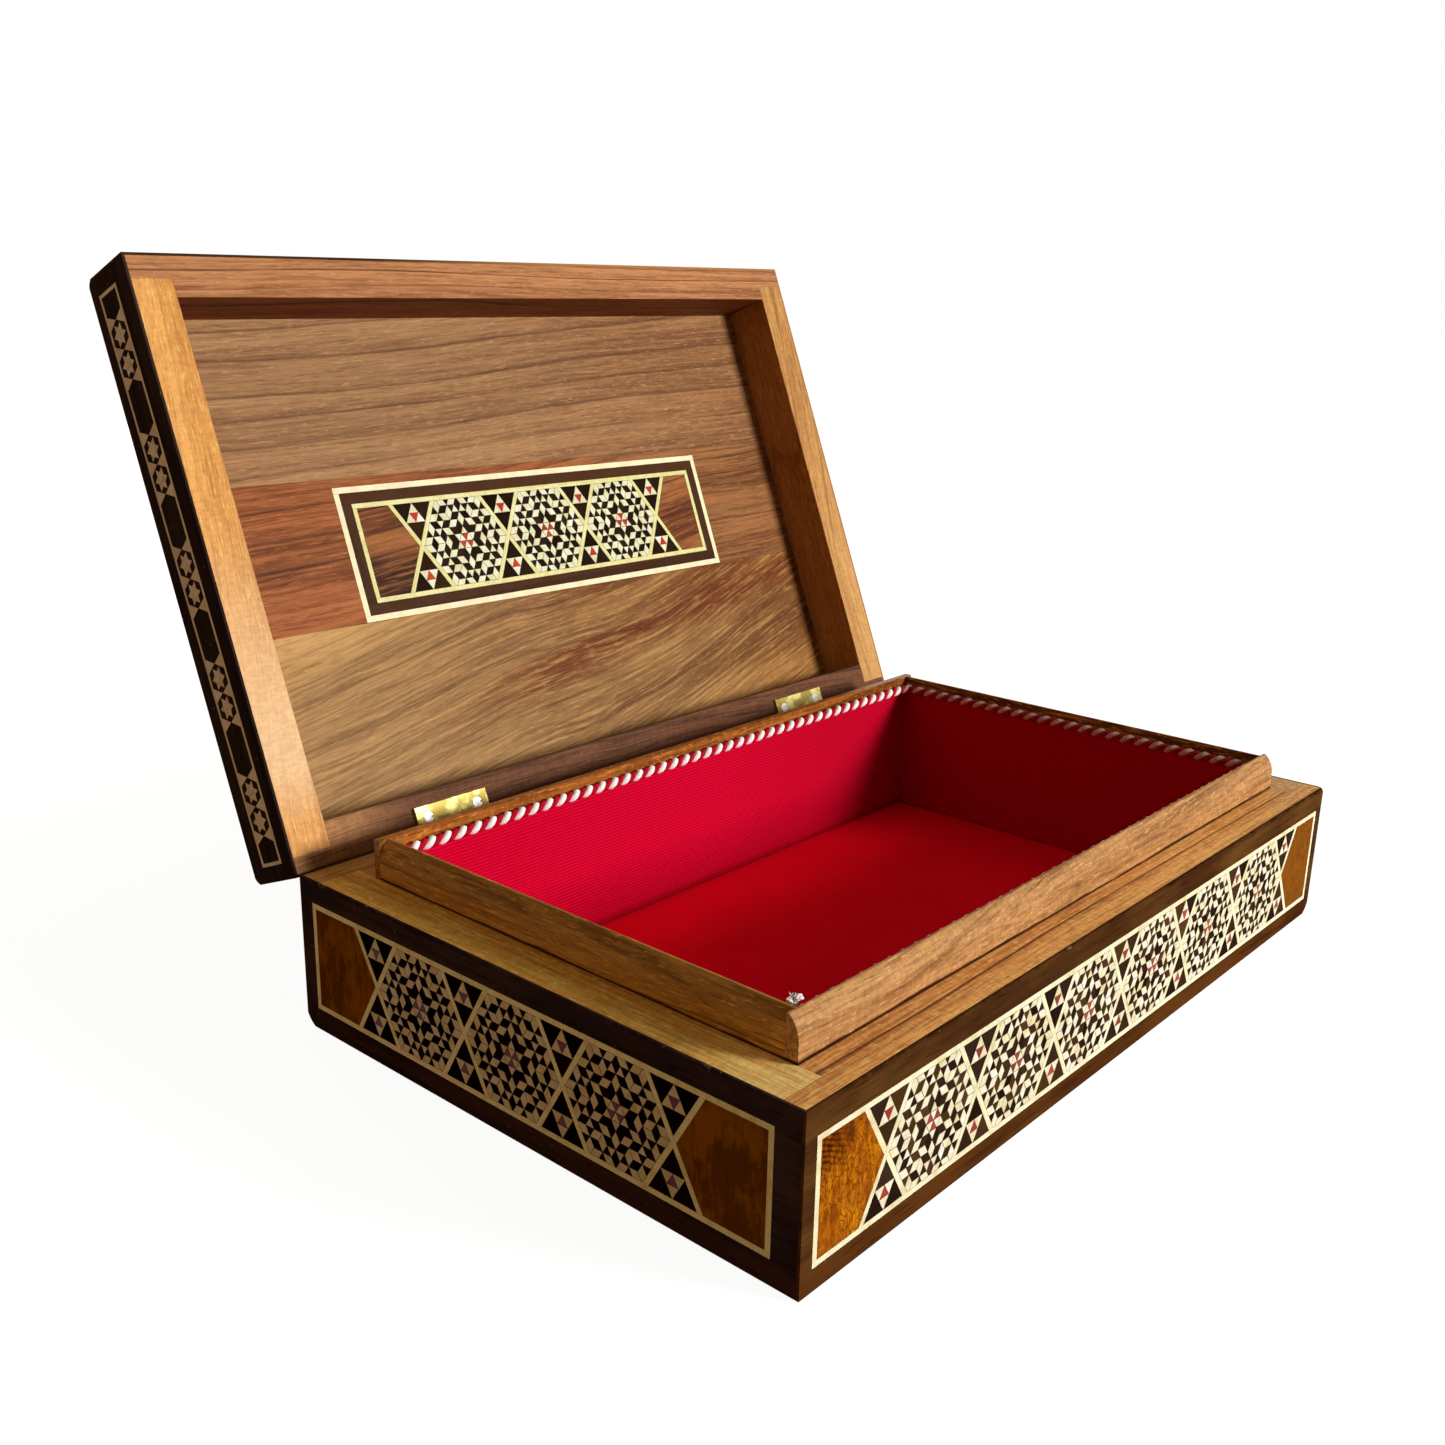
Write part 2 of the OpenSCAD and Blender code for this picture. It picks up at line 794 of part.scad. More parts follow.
// Tan work of the strip on a lid edge: two lines, stars in pairs, and triangles between the hexagons
module strip(len) {
    in_h = strip_h - 2 * strip_line;
    a = in_h * 0.487;
    step = 7.76 * a;
    count = floor(len / step);
    for (s = [-1, 1])
        translate([0, s * (in_h + strip_line) / 2]) square([len, strip_line], center = true);
    for (s = [-1, 1])
        translate([s * (len - strip_line) / 2, 0]) square([strip_line, in_h + strip_line], center = true);
    for (j = [0:count - 1]) translate([(j - (count - 1) / 2) * step, 0]) {
        for (s = [-1, 1])
            translate([s * a, 0]) rotate(30) star(a * 0.84);
        for (k = [-2, 0, 2], s = [0, 180])
            translate([k * a, 0]) rotate(s) polygon([[0, 0.12], [a / 2, in_h / 2 + 0.1], [-a / 2, in_h / 2 + 0.1]]);
    }
}

module strip_long() {
    translate([0, strip_z]) strip(box_l - 2 * strip_end);
}

module strip_short() {
    translate([-0.5, strip_z - 0.5]) rotate(strip_slant) strip(box_w - 2 * strip_end_side);
}

module edge_sheet(len) {
    linear_extrude(veneer_t) difference() {
        translate([-len / 2, base_h]) square([len, lid_h - veneer_t]);
        children();
    }
}

module lid_edge_front() {
    color("sienna") lid_open() worn_lid() on_front(veneer_t) edge_sheet(box_l) strip_long();
}

module lid_edge_back() {
    color("sienna") lid_open() worn_lid() difference() {
        on_back(veneer_t) edge_sheet(box_l) strip_long();
        hinge_places() knuckle_room();
    }
}

module lid_edge_left() {
    color("sienna") lid_open() worn_lid() on_left(veneer_t) edge_sheet(core_w) strip_short();
}

module lid_edge_right() {
    color("sienna") lid_open() worn_lid() on_right(veneer_t) edge_sheet(core_w) strip_short();
}

module lid_edge_inlay() {
    color("tan") lid_open() {
        on_front(veneer_t) linear_extrude(veneer_t) strip_long();
        on_back(veneer_t) linear_extrude(veneer_t) strip_long();
        on_left(veneer_t) linear_extrude(veneer_t) strip_short();
        on_right(veneer_t) linear_extrude(veneer_t) strip_short();
    }
}

// String line round the edge of the lid top
module top_line() {
    border(box_l - 2 * top_margin, box_w - 2 * top_margin, string_w);
}

module lid_top() {
    color("sienna") lid_open() worn_lid() on_lid_top(veneer_t) linear_extrude(veneer_t) difference() {
        square([box_l, box_w], center = true);
        square([front_in + 2 * string_w, band_h + 2 * string_w], center = true);
        top_line();
    }
}

module lid_top_strings() {
    color("khaki") lid_open() on_lid_top(veneer_t) linear_extrude(veneer_t) {
        band_strings(front_in, band_h, 1);
        top_line();
    }
}

module lid_top_dark() {
    color("saddlebrown") lid_open()
        on_lid_top(veneer_t) linear_extrude(ground_t) band_dark(front_in, band_h, 1);
}

module lid_top_light() {
    color("ivory") lid_open()
        on_lid_top(piece_t) linear_extrude(piece_t) band_light(front_in, band_h, 1, [0]);
}

module medallion_strings() {
    color("khaki") lid_open() on_lid_inside(veneer_t) linear_extrude(veneer_t) {
        border(medallion_l - 2 * medallion_line, medallion_h - 2 * medallion_line, medallion_line);
        band_strings(medallion_in, band_h, medallion_scale);
    }
}

// Ground of the tiles, and the dark border round the band
module medallion_dark() {
    color("saddlebrown") lid_open() on_lid_inside(veneer_t) {
        linear_extrude(ground_t) band_dark(medallion_in, band_h, medallion_scale);
        linear_extrude(veneer_t) border(medallion_in + 2 * string_w, band_h + 2 * string_w, medallion_border);
    }
}

module medallion_light() {
    color("ivory") lid_open()
        on_lid_inside(piece_t) linear_extrude(piece_t) band_light(medallion_in, band_h, medallion_scale, [1]);
}

module lid_red() {
    color("red") lid_open() {
        on_lid_top(piece_t) linear_extrude(piece_t) band_red(front_in, band_h, 1, [0]);
        on_lid_inside(piece_t) linear_extrude(piece_t) band_red(medallion_in, band_h, medallion_scale, [1]);
    }
}

module lid_panels() {
    color("darkorange") lid_open()
        on_lid_top(veneer_t) linear_extrude(veneer_t) band_panels(front_in, band_h, 1);
}

module medallion_panels() {
    color("sienna") lid_open()
        on_lid_inside(veneer_t) linear_extrude(veneer_t) band_panels(medallion_in, band_h, medallion_scale);
}

wall_front();
wall_back();
wall_left();
wall_right();
bottom_board();
riser_front();
riser_back();
riser_left();
riser_right();
lining_walls();
lining_floor();
trim_cord();
trim_tuft();
veneer_front();
veneer_back();
veneer_left();
veneer_right();
strings_front();
strings_back();
strings_left();
strings_right();
dark_front();
dark_back();
dark_left();
dark_right();
light_front();
light_back();
light_left();
light_right();
red_base();
panels_base();
hinge_leaf_base_left();
hinge_leaf_base_right();
hinge_pins();
screws_base();
lid_rail_front();
lid_rail_back();
lid_rail_left();
lid_rail_right();
lid_board_front();
lid_board_middle();
lid_board_rear();
lid_edge_front();
lid_edge_back();
lid_edge_left();
lid_edge_right();
lid_edge_inlay();
lid_top();
lid_top_strings();
lid_top_dark();
lid_top_light();
medallion_strings();
medallion_dark();
medallion_light();
lid_red();
lid_panels();
medallion_panels();
hinge_leaf_lid_left();
hinge_leaf_lid_right();
screws_lid();
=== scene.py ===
"""Inlaid wooden box, lid open: walnut and beech, star marquetry, red lining with a twisted cord."""
import math
import random

import bmesh
import bpy
from mathutils import Matrix, Vector, noise


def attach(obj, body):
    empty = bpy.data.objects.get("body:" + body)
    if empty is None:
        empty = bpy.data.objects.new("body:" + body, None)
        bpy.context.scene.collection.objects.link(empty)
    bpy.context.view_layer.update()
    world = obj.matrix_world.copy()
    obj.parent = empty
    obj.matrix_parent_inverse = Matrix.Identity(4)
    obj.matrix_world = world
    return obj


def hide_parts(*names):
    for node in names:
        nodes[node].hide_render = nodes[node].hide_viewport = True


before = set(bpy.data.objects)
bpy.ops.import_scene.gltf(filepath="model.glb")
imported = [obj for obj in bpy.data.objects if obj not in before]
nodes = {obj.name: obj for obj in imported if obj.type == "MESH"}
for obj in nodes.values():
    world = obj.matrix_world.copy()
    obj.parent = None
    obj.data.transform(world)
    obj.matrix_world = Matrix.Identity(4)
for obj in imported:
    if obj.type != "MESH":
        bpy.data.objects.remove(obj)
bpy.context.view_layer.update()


# ---------------------------------------------------------------- camera
# A close view from beyond the front left corner. The camera stands as high as the top of the open
# lid and looks down at the tray.
camera = bpy.data.objects.new("camera", bpy.data.cameras.new("camera"))
camera.data.sensor_width = 36
camera.data.lens = 37.40
camera.data.clip_start = 0.01
camera.location = (-0.31524, -0.22182, 0.18364)
camera.rotation_euler = [math.radians(a) for a in (73.32, -1.28, -48.70)]
bpy.context.collection.objects.link(camera)
bpy.context.scene.camera = camera
bpy.context.scene.view_settings.view_transform = "Standard"


# ---------------------------------------------------------------- floor and light
# A flat white ground that the box stands on, and a room that shows as plain white. Both are white
# only to the rays that show them, so that they throw little light on the dark woods.
class Sock:
    """One shader socket. The usual operators on it add Math nodes; node() adds any other node."""

    def __init__(self, tree, out=None):
        self.tree, self.out = tree, out

    def node(self, kind, settings=None, inputs=None, out=0):
        made = self.tree.nodes.new("ShaderNode" + kind)
        for key, value in (settings or {}).items():
            if key == "stops":
                ramp = made.color_ramp
                while len(ramp.elements) < len(value):
                    ramp.elements.new(0.5)
                for stop, (place, colour) in zip(ramp.elements, value):
                    stop.position, stop.color = place, colour
            else:
                setattr(made, key, value)
        for key, value in (inputs or {}).items():
            if isinstance(value, Sock):
                self.tree.links.new(value.out, made.inputs[key])
            else:
                made.inputs[key].default_value = value
        return Sock(self.tree, made.outputs[out])

    def calc(self, operation, *values):
        """A Math node on this value and the others."""
        return self.node("Math", {"operation": operation}, dict(enumerate((self,) + values)))

    def __add__(self, b):
        return self.calc("ADD", b)

    def __radd__(self, b):
        return self.calc("ADD", b)

    def __sub__(self, b):
        return self.calc("SUBTRACT", b)

    def __mul__(self, b):
        return self.calc("MULTIPLY", b)

    def __truediv__(self, b):
        return self.calc("DIVIDE", b)

    def between(self, low, high, to_low=0.0, to_high=1.0):
        """to_low up to low, to_high from high on, and a smooth change between them."""
        return self.node("MapRange", {"interpolation_type": "SMOOTHSTEP"},
                         {0: self, 1: low, 2: high, 3: to_low, 4: to_high})

    def tint(self, a, b):
        """Colour a where this value is 0, b where it is 1."""
        return self.node("Mix", {"data_type": "RGBA"}, {0: self, 6: a, 7: b}, 2)

    def times(self, a, b):
        """Colour a multiplied by b, by this much."""
        return self.node("Mix", {"data_type": "RGBA", "blend_type": "MULTIPLY"},
                         {0: self, 6: a, 7: b}, 2)


def rgb(code):
    """A colour written as it looks on a screen, as the numbers that light uses."""
    parts = [int(code[i:i + 2], 16) / 255 for i in (0, 2, 4)]
    return [p / 12.92 if p <= 0.04045 else ((p + 0.055) / 1.055) ** 2.4 for p in parts] + [1.0]


class Finish:
    """A material and the sockets that every finish starts from."""

    def __init__(self, name):
        self.material = bpy.data.materials.new(name)
        self.material.use_nodes = True
        self.tree = self.material.node_tree
        self.tree.nodes.clear()
        self.start = Sock(self.tree)
        self.place = self.start.node("TexCoord", out="Object")

    def axes(self, place):
        return [self.start.node("SeparateXYZ", {}, {0: place}, axis) for axis in "XYZ"]

    def noise(self, at, size, detail=3, rough=0.5, twist=0.0, out=0):
        """Cloudy noise. size is how many clouds go to a metre."""
        return self.start.node("TexNoise", {}, {"Vector": at, "Scale": size, "Detail": detail,
                                                "Roughness": rough, "Distortion": twist}, out)

    def stretched(self, at, scale):
        """Coordinates scaled per axis. A scale under 1 draws a pattern out along that axis."""
        return self.start.node("Mapping", {}, {"Vector": at, "Scale": scale})

    def surface(self, sockets, height, depth, round_edge=0.0):
        """The finished material. height lifts the surface by up to depth, and round_edge is the
        radius that softens its edges."""
        bsdf = self.tree.nodes.new("ShaderNodeBsdfPrincipled")
        output = self.tree.nodes.new("ShaderNodeOutputMaterial")
        self.tree.links.new(bsdf.outputs[0], output.inputs["Surface"])
        relief = {"Height": height, "Distance": depth, "Strength": 1.0}
        if round_edge:
            relief["Normal"] = self.start.node("Bevel", {"samples": 4}, {"Radius": round_edge})
        sockets = {**sockets, "Normal": self.start.node("Bump", {}, relief)}
        for key, value in sockets.items():
            if isinstance(value, Sock):
                self.tree.links.new(value.out, bsdf.inputs[key])
            else:
                bsdf.inputs[key].default_value = value
        return self.material


def dress(material, *names):
    """Give frame nodes this material."""
    for name in names:
        mesh = nodes[name].data
        mesh.materials.clear()
        mesh.materials.append(material)


def background_rays(tree):
    """1 for the rays that show the background: straight to the camera, mirrored or through glass."""
    seen = Sock(tree).node("LightPath", out="Is Camera Ray")
    for kind in ("Is Glossy Ray", "Is Transmission Ray"):
        seen = seen.calc("MAXIMUM", seen.node("LightPath", out=kind))
    return seen


floor_reach = 6
floor_mesh = bpy.data.meshes.new("floor")
floor_corners = [(x * floor_reach, y * floor_reach, 0) for x, y in ((-1, -1), (1, -1), (1, 1), (-1, 1))]
floor_mesh.from_pydata(floor_corners, [], [(0, 1, 2, 3)])
floor = bpy.data.objects.new("floor", floor_mesh)
floor.location.z = -0.0002
bpy.context.collection.objects.link(floor)
floor_finish = bpy.data.materials.new("floor_white")
floor_finish.use_nodes = True
tree = floor_finish.node_tree
tree.nodes.clear()
ray = background_rays(tree)
far = Sock(tree).node("VectorMath", {"operation": "LENGTH"},
                      {0: Sock(tree).node("TexCoord", out="Object")}, "Value")
white_near_box = far.between(0.18, 0.5, 0.94, 1.0)
matt = tree.nodes.new("ShaderNodeBsdfDiffuse")
matt.inputs[0].default_value = (0.16, 0.16, 0.16, 1)
glow = tree.nodes.new("ShaderNodeEmission")
tree.links.new((ray * white_near_box).tint((0, 0, 0, 1), (1, 1, 1, 1)).out, glow.inputs["Color"])
glow.inputs["Strength"].default_value = 1.0
both = tree.nodes.new("ShaderNodeAddShader")
out = tree.nodes.new("ShaderNodeOutputMaterial")
tree.links.new(matt.outputs[0], both.inputs[0])
tree.links.new(glow.outputs[0], both.inputs[1])
tree.links.new(both.outputs[0], out.inputs["Surface"])
floor_mesh.materials.append(floor_finish)

world = bpy.data.worlds.new("studio")
bpy.context.scene.world = world
world.use_nodes = True
tree = world.node_tree
tree.nodes.clear()
ray = background_rays(tree)
sky = tree.nodes.new("ShaderNodeBackground")
tree.links.new(ray.tint((0.105, 0.082, 0.055, 1), (1, 1, 1, 1)).out, sky.inputs["Color"])
out = tree.nodes.new("ShaderNodeOutputWorld")
tree.links.new(sky.outputs[0], out.inputs["Surface"])

for name, place, target, size, power, colour in (
        ("window", (0.56, -1.42, 0.52), (0, 0, 0.05), 0.36, 31, (1, 1, 1)),
        ("ceiling", (0.5, 0.1, 1.9), (0, 0, 0), 1.4, 3, (1, 1, 1)),
        ("warm wall", (-1.5, 0.2, 0.35), (0, 0, 0.03), 1.0, 3.6, (1.0, 0.62, 0.28)),
        ("room behind", (0.4, 1.5, 0.2), (0, 0.12, 0.1), 0.9, 14, (1.0, 0.95, 0.88))):
    lamp = bpy.data.objects.new(name, bpy.data.lights.new(name, "AREA"))
    lamp.data.size = size
    lamp.data.energy = power
    lamp.data.color = colour
    lamp.location = place
    lamp.rotation_euler = (Vector(target) - Vector(place)).to_track_quat("-Z", "Y").to_euler()
    bpy.context.collection.objects.link(lamp)


# ---------------------------------------------------------------- carcass walls
# Beech boards, lapped at the corners, planed and varnished on the rim. The front and back boards
# run the full length. The grain follows each board, so the laps show as a change of direction.
half_l, half_w, base_h = 0.125, 0.079, 0.040
lid_turn, pivot_y, pivot_z = math.radians(112), 0.07935, 0.03885


def closed(finish):
    """Object coordinates of a lid piece as they are with the lid shut."""
    return finish.start.node("VectorRotate", {"rotation_type": "X_AXIS"},
                             {"Vector": finish.place, "Center": (0, pivot_y, pivot_z), "Angle": lid_turn})


def timber(name, pale, deep, line, along=0.0, lid=False, spacing=0.009, lines=0.6, sway=0.004,
           bands=0.6, fibre=0.6, fleck=0.3, ripple=0.0, gloss=0.45, coat=0.0, seed=0.0, inner=None,
           foot=None, patch=None, finish=None):
    """Planed wood. along is the grain's angle from X, spacing the distance between growth lines and
    lines their strength, sway how far they wander. bands is the broad light and dark, fibre the fine
    streaks, fleck the short pale dashes and ripple the curl across the grain. inner darkens the faces
    inside the lid's recess as painted shade, and foot tints the bottom of a strip. patch changes the
    colour under the grain and finish the colour over it."""
    f = Finish(name)
    flat = closed(f) if lid else f.place
    turned = f.start.node("Mapping", {}, {"Vector": flat, "Location": (seed, seed * 0.7, seed * 0.3),
                                          "Rotation": (0, 0, -along)})

    def streaks(at, scale, size, detail=3, rough=0.55):
        return f.noise(f.stretched(at, scale), size, detail, rough)

    def lighter(gain):
        return [min(1, c * gain) for c in pale[:3]] + [1]

    drift = streaks(turned, (0.5, 1, 1), 9, 1)
    waver = streaks(turned, (0.35, 1, 1), 70, 2)
    wander = f.start.node("CombineXYZ", {}, {
        0: 0.0, 1: (drift - 0.5) * sway * 8 + (waver - 0.5) * sway * 0.8, 2: (drift - 0.5) * sway * 3})
    bent = f.start.node("VectorMath", {"operation": "ADD"}, {0: turned, 1: wander})
    sideways, upward = f.axes(bent)[1:]
    across = sideways + upward * 0.6
    count = across / spacing + streaks(turned, (0.05, 1, 1), 0.35 / spacing, 1) * 2.2
    year = count.calc("FLOOR")
    season = count - year
    strength = f.noise(f.start.node("CombineXYZ", {}, {0: year * 7.3, 1: across * 4, 2: 0.0}),
                       1.7, 1, 0.55)
    dark_line = season.between(0.84, 0.94) * season.between(0.955, 1.0, 1.0, 0.0)
    broken = streaks(turned, (0.2, 1, 1), 90, 2).between(0.3, 0.55, 0.4, 1.0)
    dark_line = dark_line * strength.between(0.3, 0.55, 0.25, 1.0) * broken
    late = season.between(0.2, 0.95) * season.between(0.965, 1.0, 1.0, 0.0)
    broad = streaks(bent, (0.035, 1, 1), 0.6 / spacing, 3, 0.5)
    fine = streaks(bent, (0.035, 1, 1), 1000, 4, 0.65)
    hair = streaks(bent, (0.06, 1, 1), 2600, 2, 0.6)
    dash = streaks(bent, (0.14, 1, 1), 1900, 3, 0.6)
    colour = (broad.between(0.4, 0.6) * bands + late * (1 - bands) * 0.8).tint(pale, deep)
    if patch:
        colour = patch(f, flat, colour, broad)
    colour = (fine.between(0.49, 0.62) * fibre).times(colour, [0.62, 0.55, 0.5, 1])
    colour = (fine.between(0.34, 0.5, 1.0, 0.0) * fibre * 0.7).tint(colour, lighter(1.25))
    colour = (dash.between(0.56, 0.66) * fleck).tint(colour, lighter(1.7))
    colour = (hair.between(0.54, 0.64) * 0.45).times(colour, [0.5, 0.42, 0.36, 1])
    colour = (dark_line * lines).tint(colour, line)
    height = fine * 0.5 + hair * 0.4 + dash * 0.3 - dark_line * 0.3
    # Painted shade: the faces inside the lid's recess are darkened by the inner colour.
    if inner:
        above_joint = f.axes(flat)[2].between(base_h + 0.0002, base_h + 0.0005)
        colour = above_joint.times(colour, rgb(inner))
    if foot:
        uneven = f.axes(flat)[2] - f.noise(flat, 60, 2, 0.55) * 0.0014
        colour = uneven.between(base_h - 0.0003, base_h + 0.0002, 1.0, 0.0).times(colour, rgb(foot))
    if finish:
        colour = finish(f, flat, colour)
    if ripple:
        curl = streaks(turned, (1.0, 0.4, 0.4), 1050, 3, 0.65)
        colour = (curl.between(0.42, 0.6) * ripple).times(colour, [0.72, 0.64, 0.55, 1])
        height = height + curl * ripple
    return f.surface({"Base Color": colour, "Roughness": gloss + hair * 0.12, "Coat Weight": coat,
                      "Coat Roughness": 0.25, "Specular IOR Level": 0.06},
                     height=height, depth=0.00012, round_edge=0.00035)


def painted_light_by_front_corner(f, flat, colour, broad):
    """Painted light and shadow: the side rim is lighter by the front corner, where the inner strip's
    shadow does not reach, and darker behind it. It is also browner on the right.
    """
    x, y = f.axes(flat)[:2]
    colour = y.between(-0.066, -0.035).times(colour, rgb("dccaa4"))
    colour = (y.between(-0.077, -0.050, 1.0, 0.0) * 0.65).tint(colour, rgb("ffd28c"))
    return x.between(0.0, 0.05).times(colour, rgb("cbb9c4"))


def worn_right(f, flat, colour, broad):
    """The front rim is a little greyer towards its right end."""
    return f.axes(flat)[0].between(0.05, 0.11).times(colour, rgb("eaece8"))


dress(timber("base_front_wood", rgb("ffb96a"), rgb("d18a4e"), rgb("633119"), spacing=0.0065, lines=0.9,
             sway=0.001, fibre=0.8, fleck=0.6, ripple=0.6, patch=worn_right), "wall_front")
dress(timber("base_back_wood", rgb("bd8d4c"), rgb("986c37"), rgb("523418"), fibre=0.8, seed=0.31),
      "wall_back")
dress(timber("base_side_wood", rgb("ffe082"), rgb("ffc35d"), rgb("a96b27"), along=math.pi / 2, lines=0.3,
             sway=0.001, fibre=0.5, fleck=0.5, ripple=0.45, seed=0.53, patch=painted_light_by_front_corner),
      "wall_left", "wall_right")


# ---------------------------------------------------------------- bottom board
# A plain sanded board under the carcass. It gets no varnish and shows only from below.
dress(timber("bottom_wood", rgb("a98458"), rgb("96724a"), rgb("6a4828"), gloss=0.65, seed=0.9),
      "bottom_board")


# ---------------------------------------------------------------- inner strips
# Thin beech strips that stand up inside the walls and locate the lid. Their outer edge is planed
# round. The front one runs the full length; the back one is stained and wet with varnish.
def painted_shade_on_right_strip(f, flat, colour, broad):
    """Painted shade: the right strip, which stands in shadow, is made much darker than the left one."""
    return f.axes(flat)[0].between(0.05, 0.06).times(colour, rgb("978179"))


def bare_end(f, flat, colour, broad):
    """The sawn left end of the back strip has no stain."""
    return f.axes(flat)[0].between(-0.1135, -0.1085, 1.0, 0.0).times(colour, rgb("c4dcc8"))


dress(timber("strip_wood", rgb("be8d58"), rgb("9e6f41"), rgb("5b3517"), spacing=0.008, lines=0.4,
             fibre=0.8, fleck=0.6, ripple=0.5, seed=0.17, foot="4a3018"), "riser_front")
dress(timber("strip_side_wood", rgb("ba8640"), rgb("926128"), rgb("5b320b"), along=math.pi / 2,
             spacing=0.004, fibre=1.0, fleck=0.7, seed=0.71, foot="5a4024", patch=painted_shade_on_right_strip),
      "riser_left", "riser_right")
dress(timber("strip_back_wood", rgb("b87030"), rgb("8a4e1c"), rgb("54280c"), fibre=0.9, fleck=0.8,
             ripple=0.7, gloss=0.2, coat=0.35, seed=0.44, patch=bare_end), "riser_back")


# ---------------------------------------------------------------- lid frame
# Four rails lapped at the corners like the base: a reddish front rail, a brown back rail and
# golden side rails. The recess they leave takes the inner strips when the lid is shut.
def rubbed_end(f, flat, colour, broad):
    """The back rail has been rubbed pale at its left end."""
    end = f.axes(flat)[0].between(-0.115, -0.085, 1.0, 0.0) * broad.between(0.3, 0.6, 0.6, 1.0)
    return end.tint(colour, rgb("c8905c"))


def pale_foot(f, flat, colour):
    """The left rail is paler towards the hinges, but not at its very end."""
    y = f.axes(flat)[1]
    return (y.between(-0.02, 0.05) * y.between(0.05, 0.07, 0.6, 0.05)).tint(colour, rgb("ffdcb0"))


# Each rail's inner colour is painted shade on its faces inside the recess.
dress(timber("lid_front_wood", rgb("bc8255"), rgb("9b643f"), rgb("522712"), lid=True, spacing=0.0055,
             lines=0.8, sway=0.0016, fibre=0.7, seed=0.12, inner="a88a70"), "lid_rail_front")
dress(timber("lid_back_wood", rgb("704830"), rgb("4e301c"), rgb("28130a"), lid=True, lines=0.3, fibre=0.9,
             fleck=0.35, ripple=0.5, seed=0.83, patch=rubbed_end), "lid_rail_back")
dress(timber("lid_left_wood", rgb("f0ad61"), rgb("d49049"), rgb("9b5d28"), along=math.pi / 2 + 0.06,
             lid=True, lines=0.15, fibre=0.35, fleck=0.55, ripple=0.35, seed=0.37, inner="b08c68",
             finish=pale_foot), "lid_rail_left")
dress(timber("lid_right_wood", rgb("d09d60"), rgb("b68046"), rgb("7e4d21"), along=math.pi / 2, lid=True,
             lines=0.3, fibre=0.5, ripple=0.3, seed=0.57, inner="dcccbc"), "lid_rail_right")


# ---------------------------------------------------------------- lid boards
# Three walnut boards edge to edge: a straight grained one at the front, a redder one behind the
# inlaid panel, and a striped one at the back whose grain rises to the right, with a red streak.
def fading_red(f, flat, colour, broad):
    """The red of the middle board gives way to plain brown right of the panel."""
    x = f.axes(flat)[0]
    plain = broad.between(0.38, 0.62).tint(rgb("9a6a40"), rgb("7a5030"))
    return x.between(0.0, 0.04).tint(colour, plain)


def heart_streak(f, flat, colour, broad):
    """A red streak that climbs to the right across the rear board, and a second one above it."""
    x, y = f.axes(flat)[:2]
    off = y + x * 0.17 - 0.0435 + (broad - 0.5) * 0.03
    red = off.calc("ABSOLUTE").between(0.001, 0.0075, 1.0, 0.0) * x.between(-0.07, 0.0)
    high = y.between(0.024, 0.034, 1.0, 0.0) * x.between(-0.04, 0.05) * broad.between(0.4, 0.55)
    colour = (x.between(-0.10, 0.03, 1.0, 0.0) * 0.3).tint(colour, rgb("e0b478"))
    colour = (x.between(0.03, 0.10) * 0.8).times(colour, rgb("c8a890"))
    colour = (red * 0.85).tint(colour, rgb("6e3418"))
    return (high * 0.8).tint(colour, rgb("703818"))


def shaded_right(f, flat, colour, broad):
    """The straight grained board darkens to the right."""
    return (f.axes(flat)[0].between(-0.03, 0.09) * 0.8).times(colour, rgb("e8d8cc"))


dress(timber("board_grey_walnut", rgb("aa7f56"), rgb("886041"), rgb("50311f"), along=math.radians(-2.5),
             lid=True, spacing=0.0085, lines=0.5, sway=0.0018, bands=0.4, fibre=0.55, fleck=0.4,
             seed=0.05, patch=shaded_right), "lid_board_front")
dress(timber("board_red_walnut", rgb("a8643a"), rgb("6c3e22"), rgb("28120c"), along=math.radians(-3),
             lid=True, sway=0.003, bands=0.85, fibre=0.9, seed=0.66, patch=fading_red),
      "lid_board_middle")
dress(timber("board_striped_walnut", rgb("be9157"), rgb("78502f"), rgb("3c2313"), along=math.radians(-12),
             lid=True, spacing=0.0115, lines=0.3, sway=0.0042, bands=0.8, fibre=0.65, fleck=0.2,
             seed=0.28, patch=heart_streak), "lid_board_rear")


# ---------------------------------------------------------------- lining
# Ribbed red cloth glued to the inside walls, its ribs level, and smooth red cloth on the floor.
# The nap is matt, and the ribs catch the light.
rib_pitch = 0.00095
nap = {"Specular IOR Level": 0.05, "Sheen Weight": 0.03, "Sheen Roughness": 0.4,
       "Sheen Tint": rgb("ff2040")}
f = Finish("lining_cloth")
x, z = f.axes(f.place)[::2]
wander = f.noise(f.place, 90)
rib = ((z + (wander - 0.5) * 0.0005) * (2 * math.pi / rib_pitch)).calc("SINE")
thread = f.noise(f.place, 2400, rough=0.7)
cloth = ((rib * 0.5 + 0.5) * 0.55 + thread * 0.45).between(0.15, 0.8).tint(rgb("b40024"), rgb("dc0032"))
# Painted shade: the right wall and the right part of the back wall are darkened, and so is a band along
# the foot of the walls where they meet the floor.
right_side_shade = (x.between(0.1085, 0.1090) * 0.6).calc("MAXIMUM", x.between(-0.01, 0.08) * 0.3)
wall_foot_shade = z.between(0.0040, 0.0075, 0.8, 0.0)
dress(f.surface({"Base Color": wall_foot_shade.calc("MAXIMUM", right_side_shade).times(cloth, rgb("a85858")),
                 "Roughness": 0.85, **nap}, height=rib * 0.5 + thread, depth=0.00012), "lining_walls")
f = Finish("floor_cloth")
thread = f.noise(f.place, 1900, 4, 0.7)
cloud = f.noise(f.place, 26)
cloth = (thread * 0.5 + cloud * 0.5).between(0.3, 0.7).tint(rgb("e6001f"), rgb("fc0026"))
dress(f.surface({"Base Color": cloth, "Roughness": 0.8, **nap}, height=thread, depth=0.00008),
      "lining_floor")


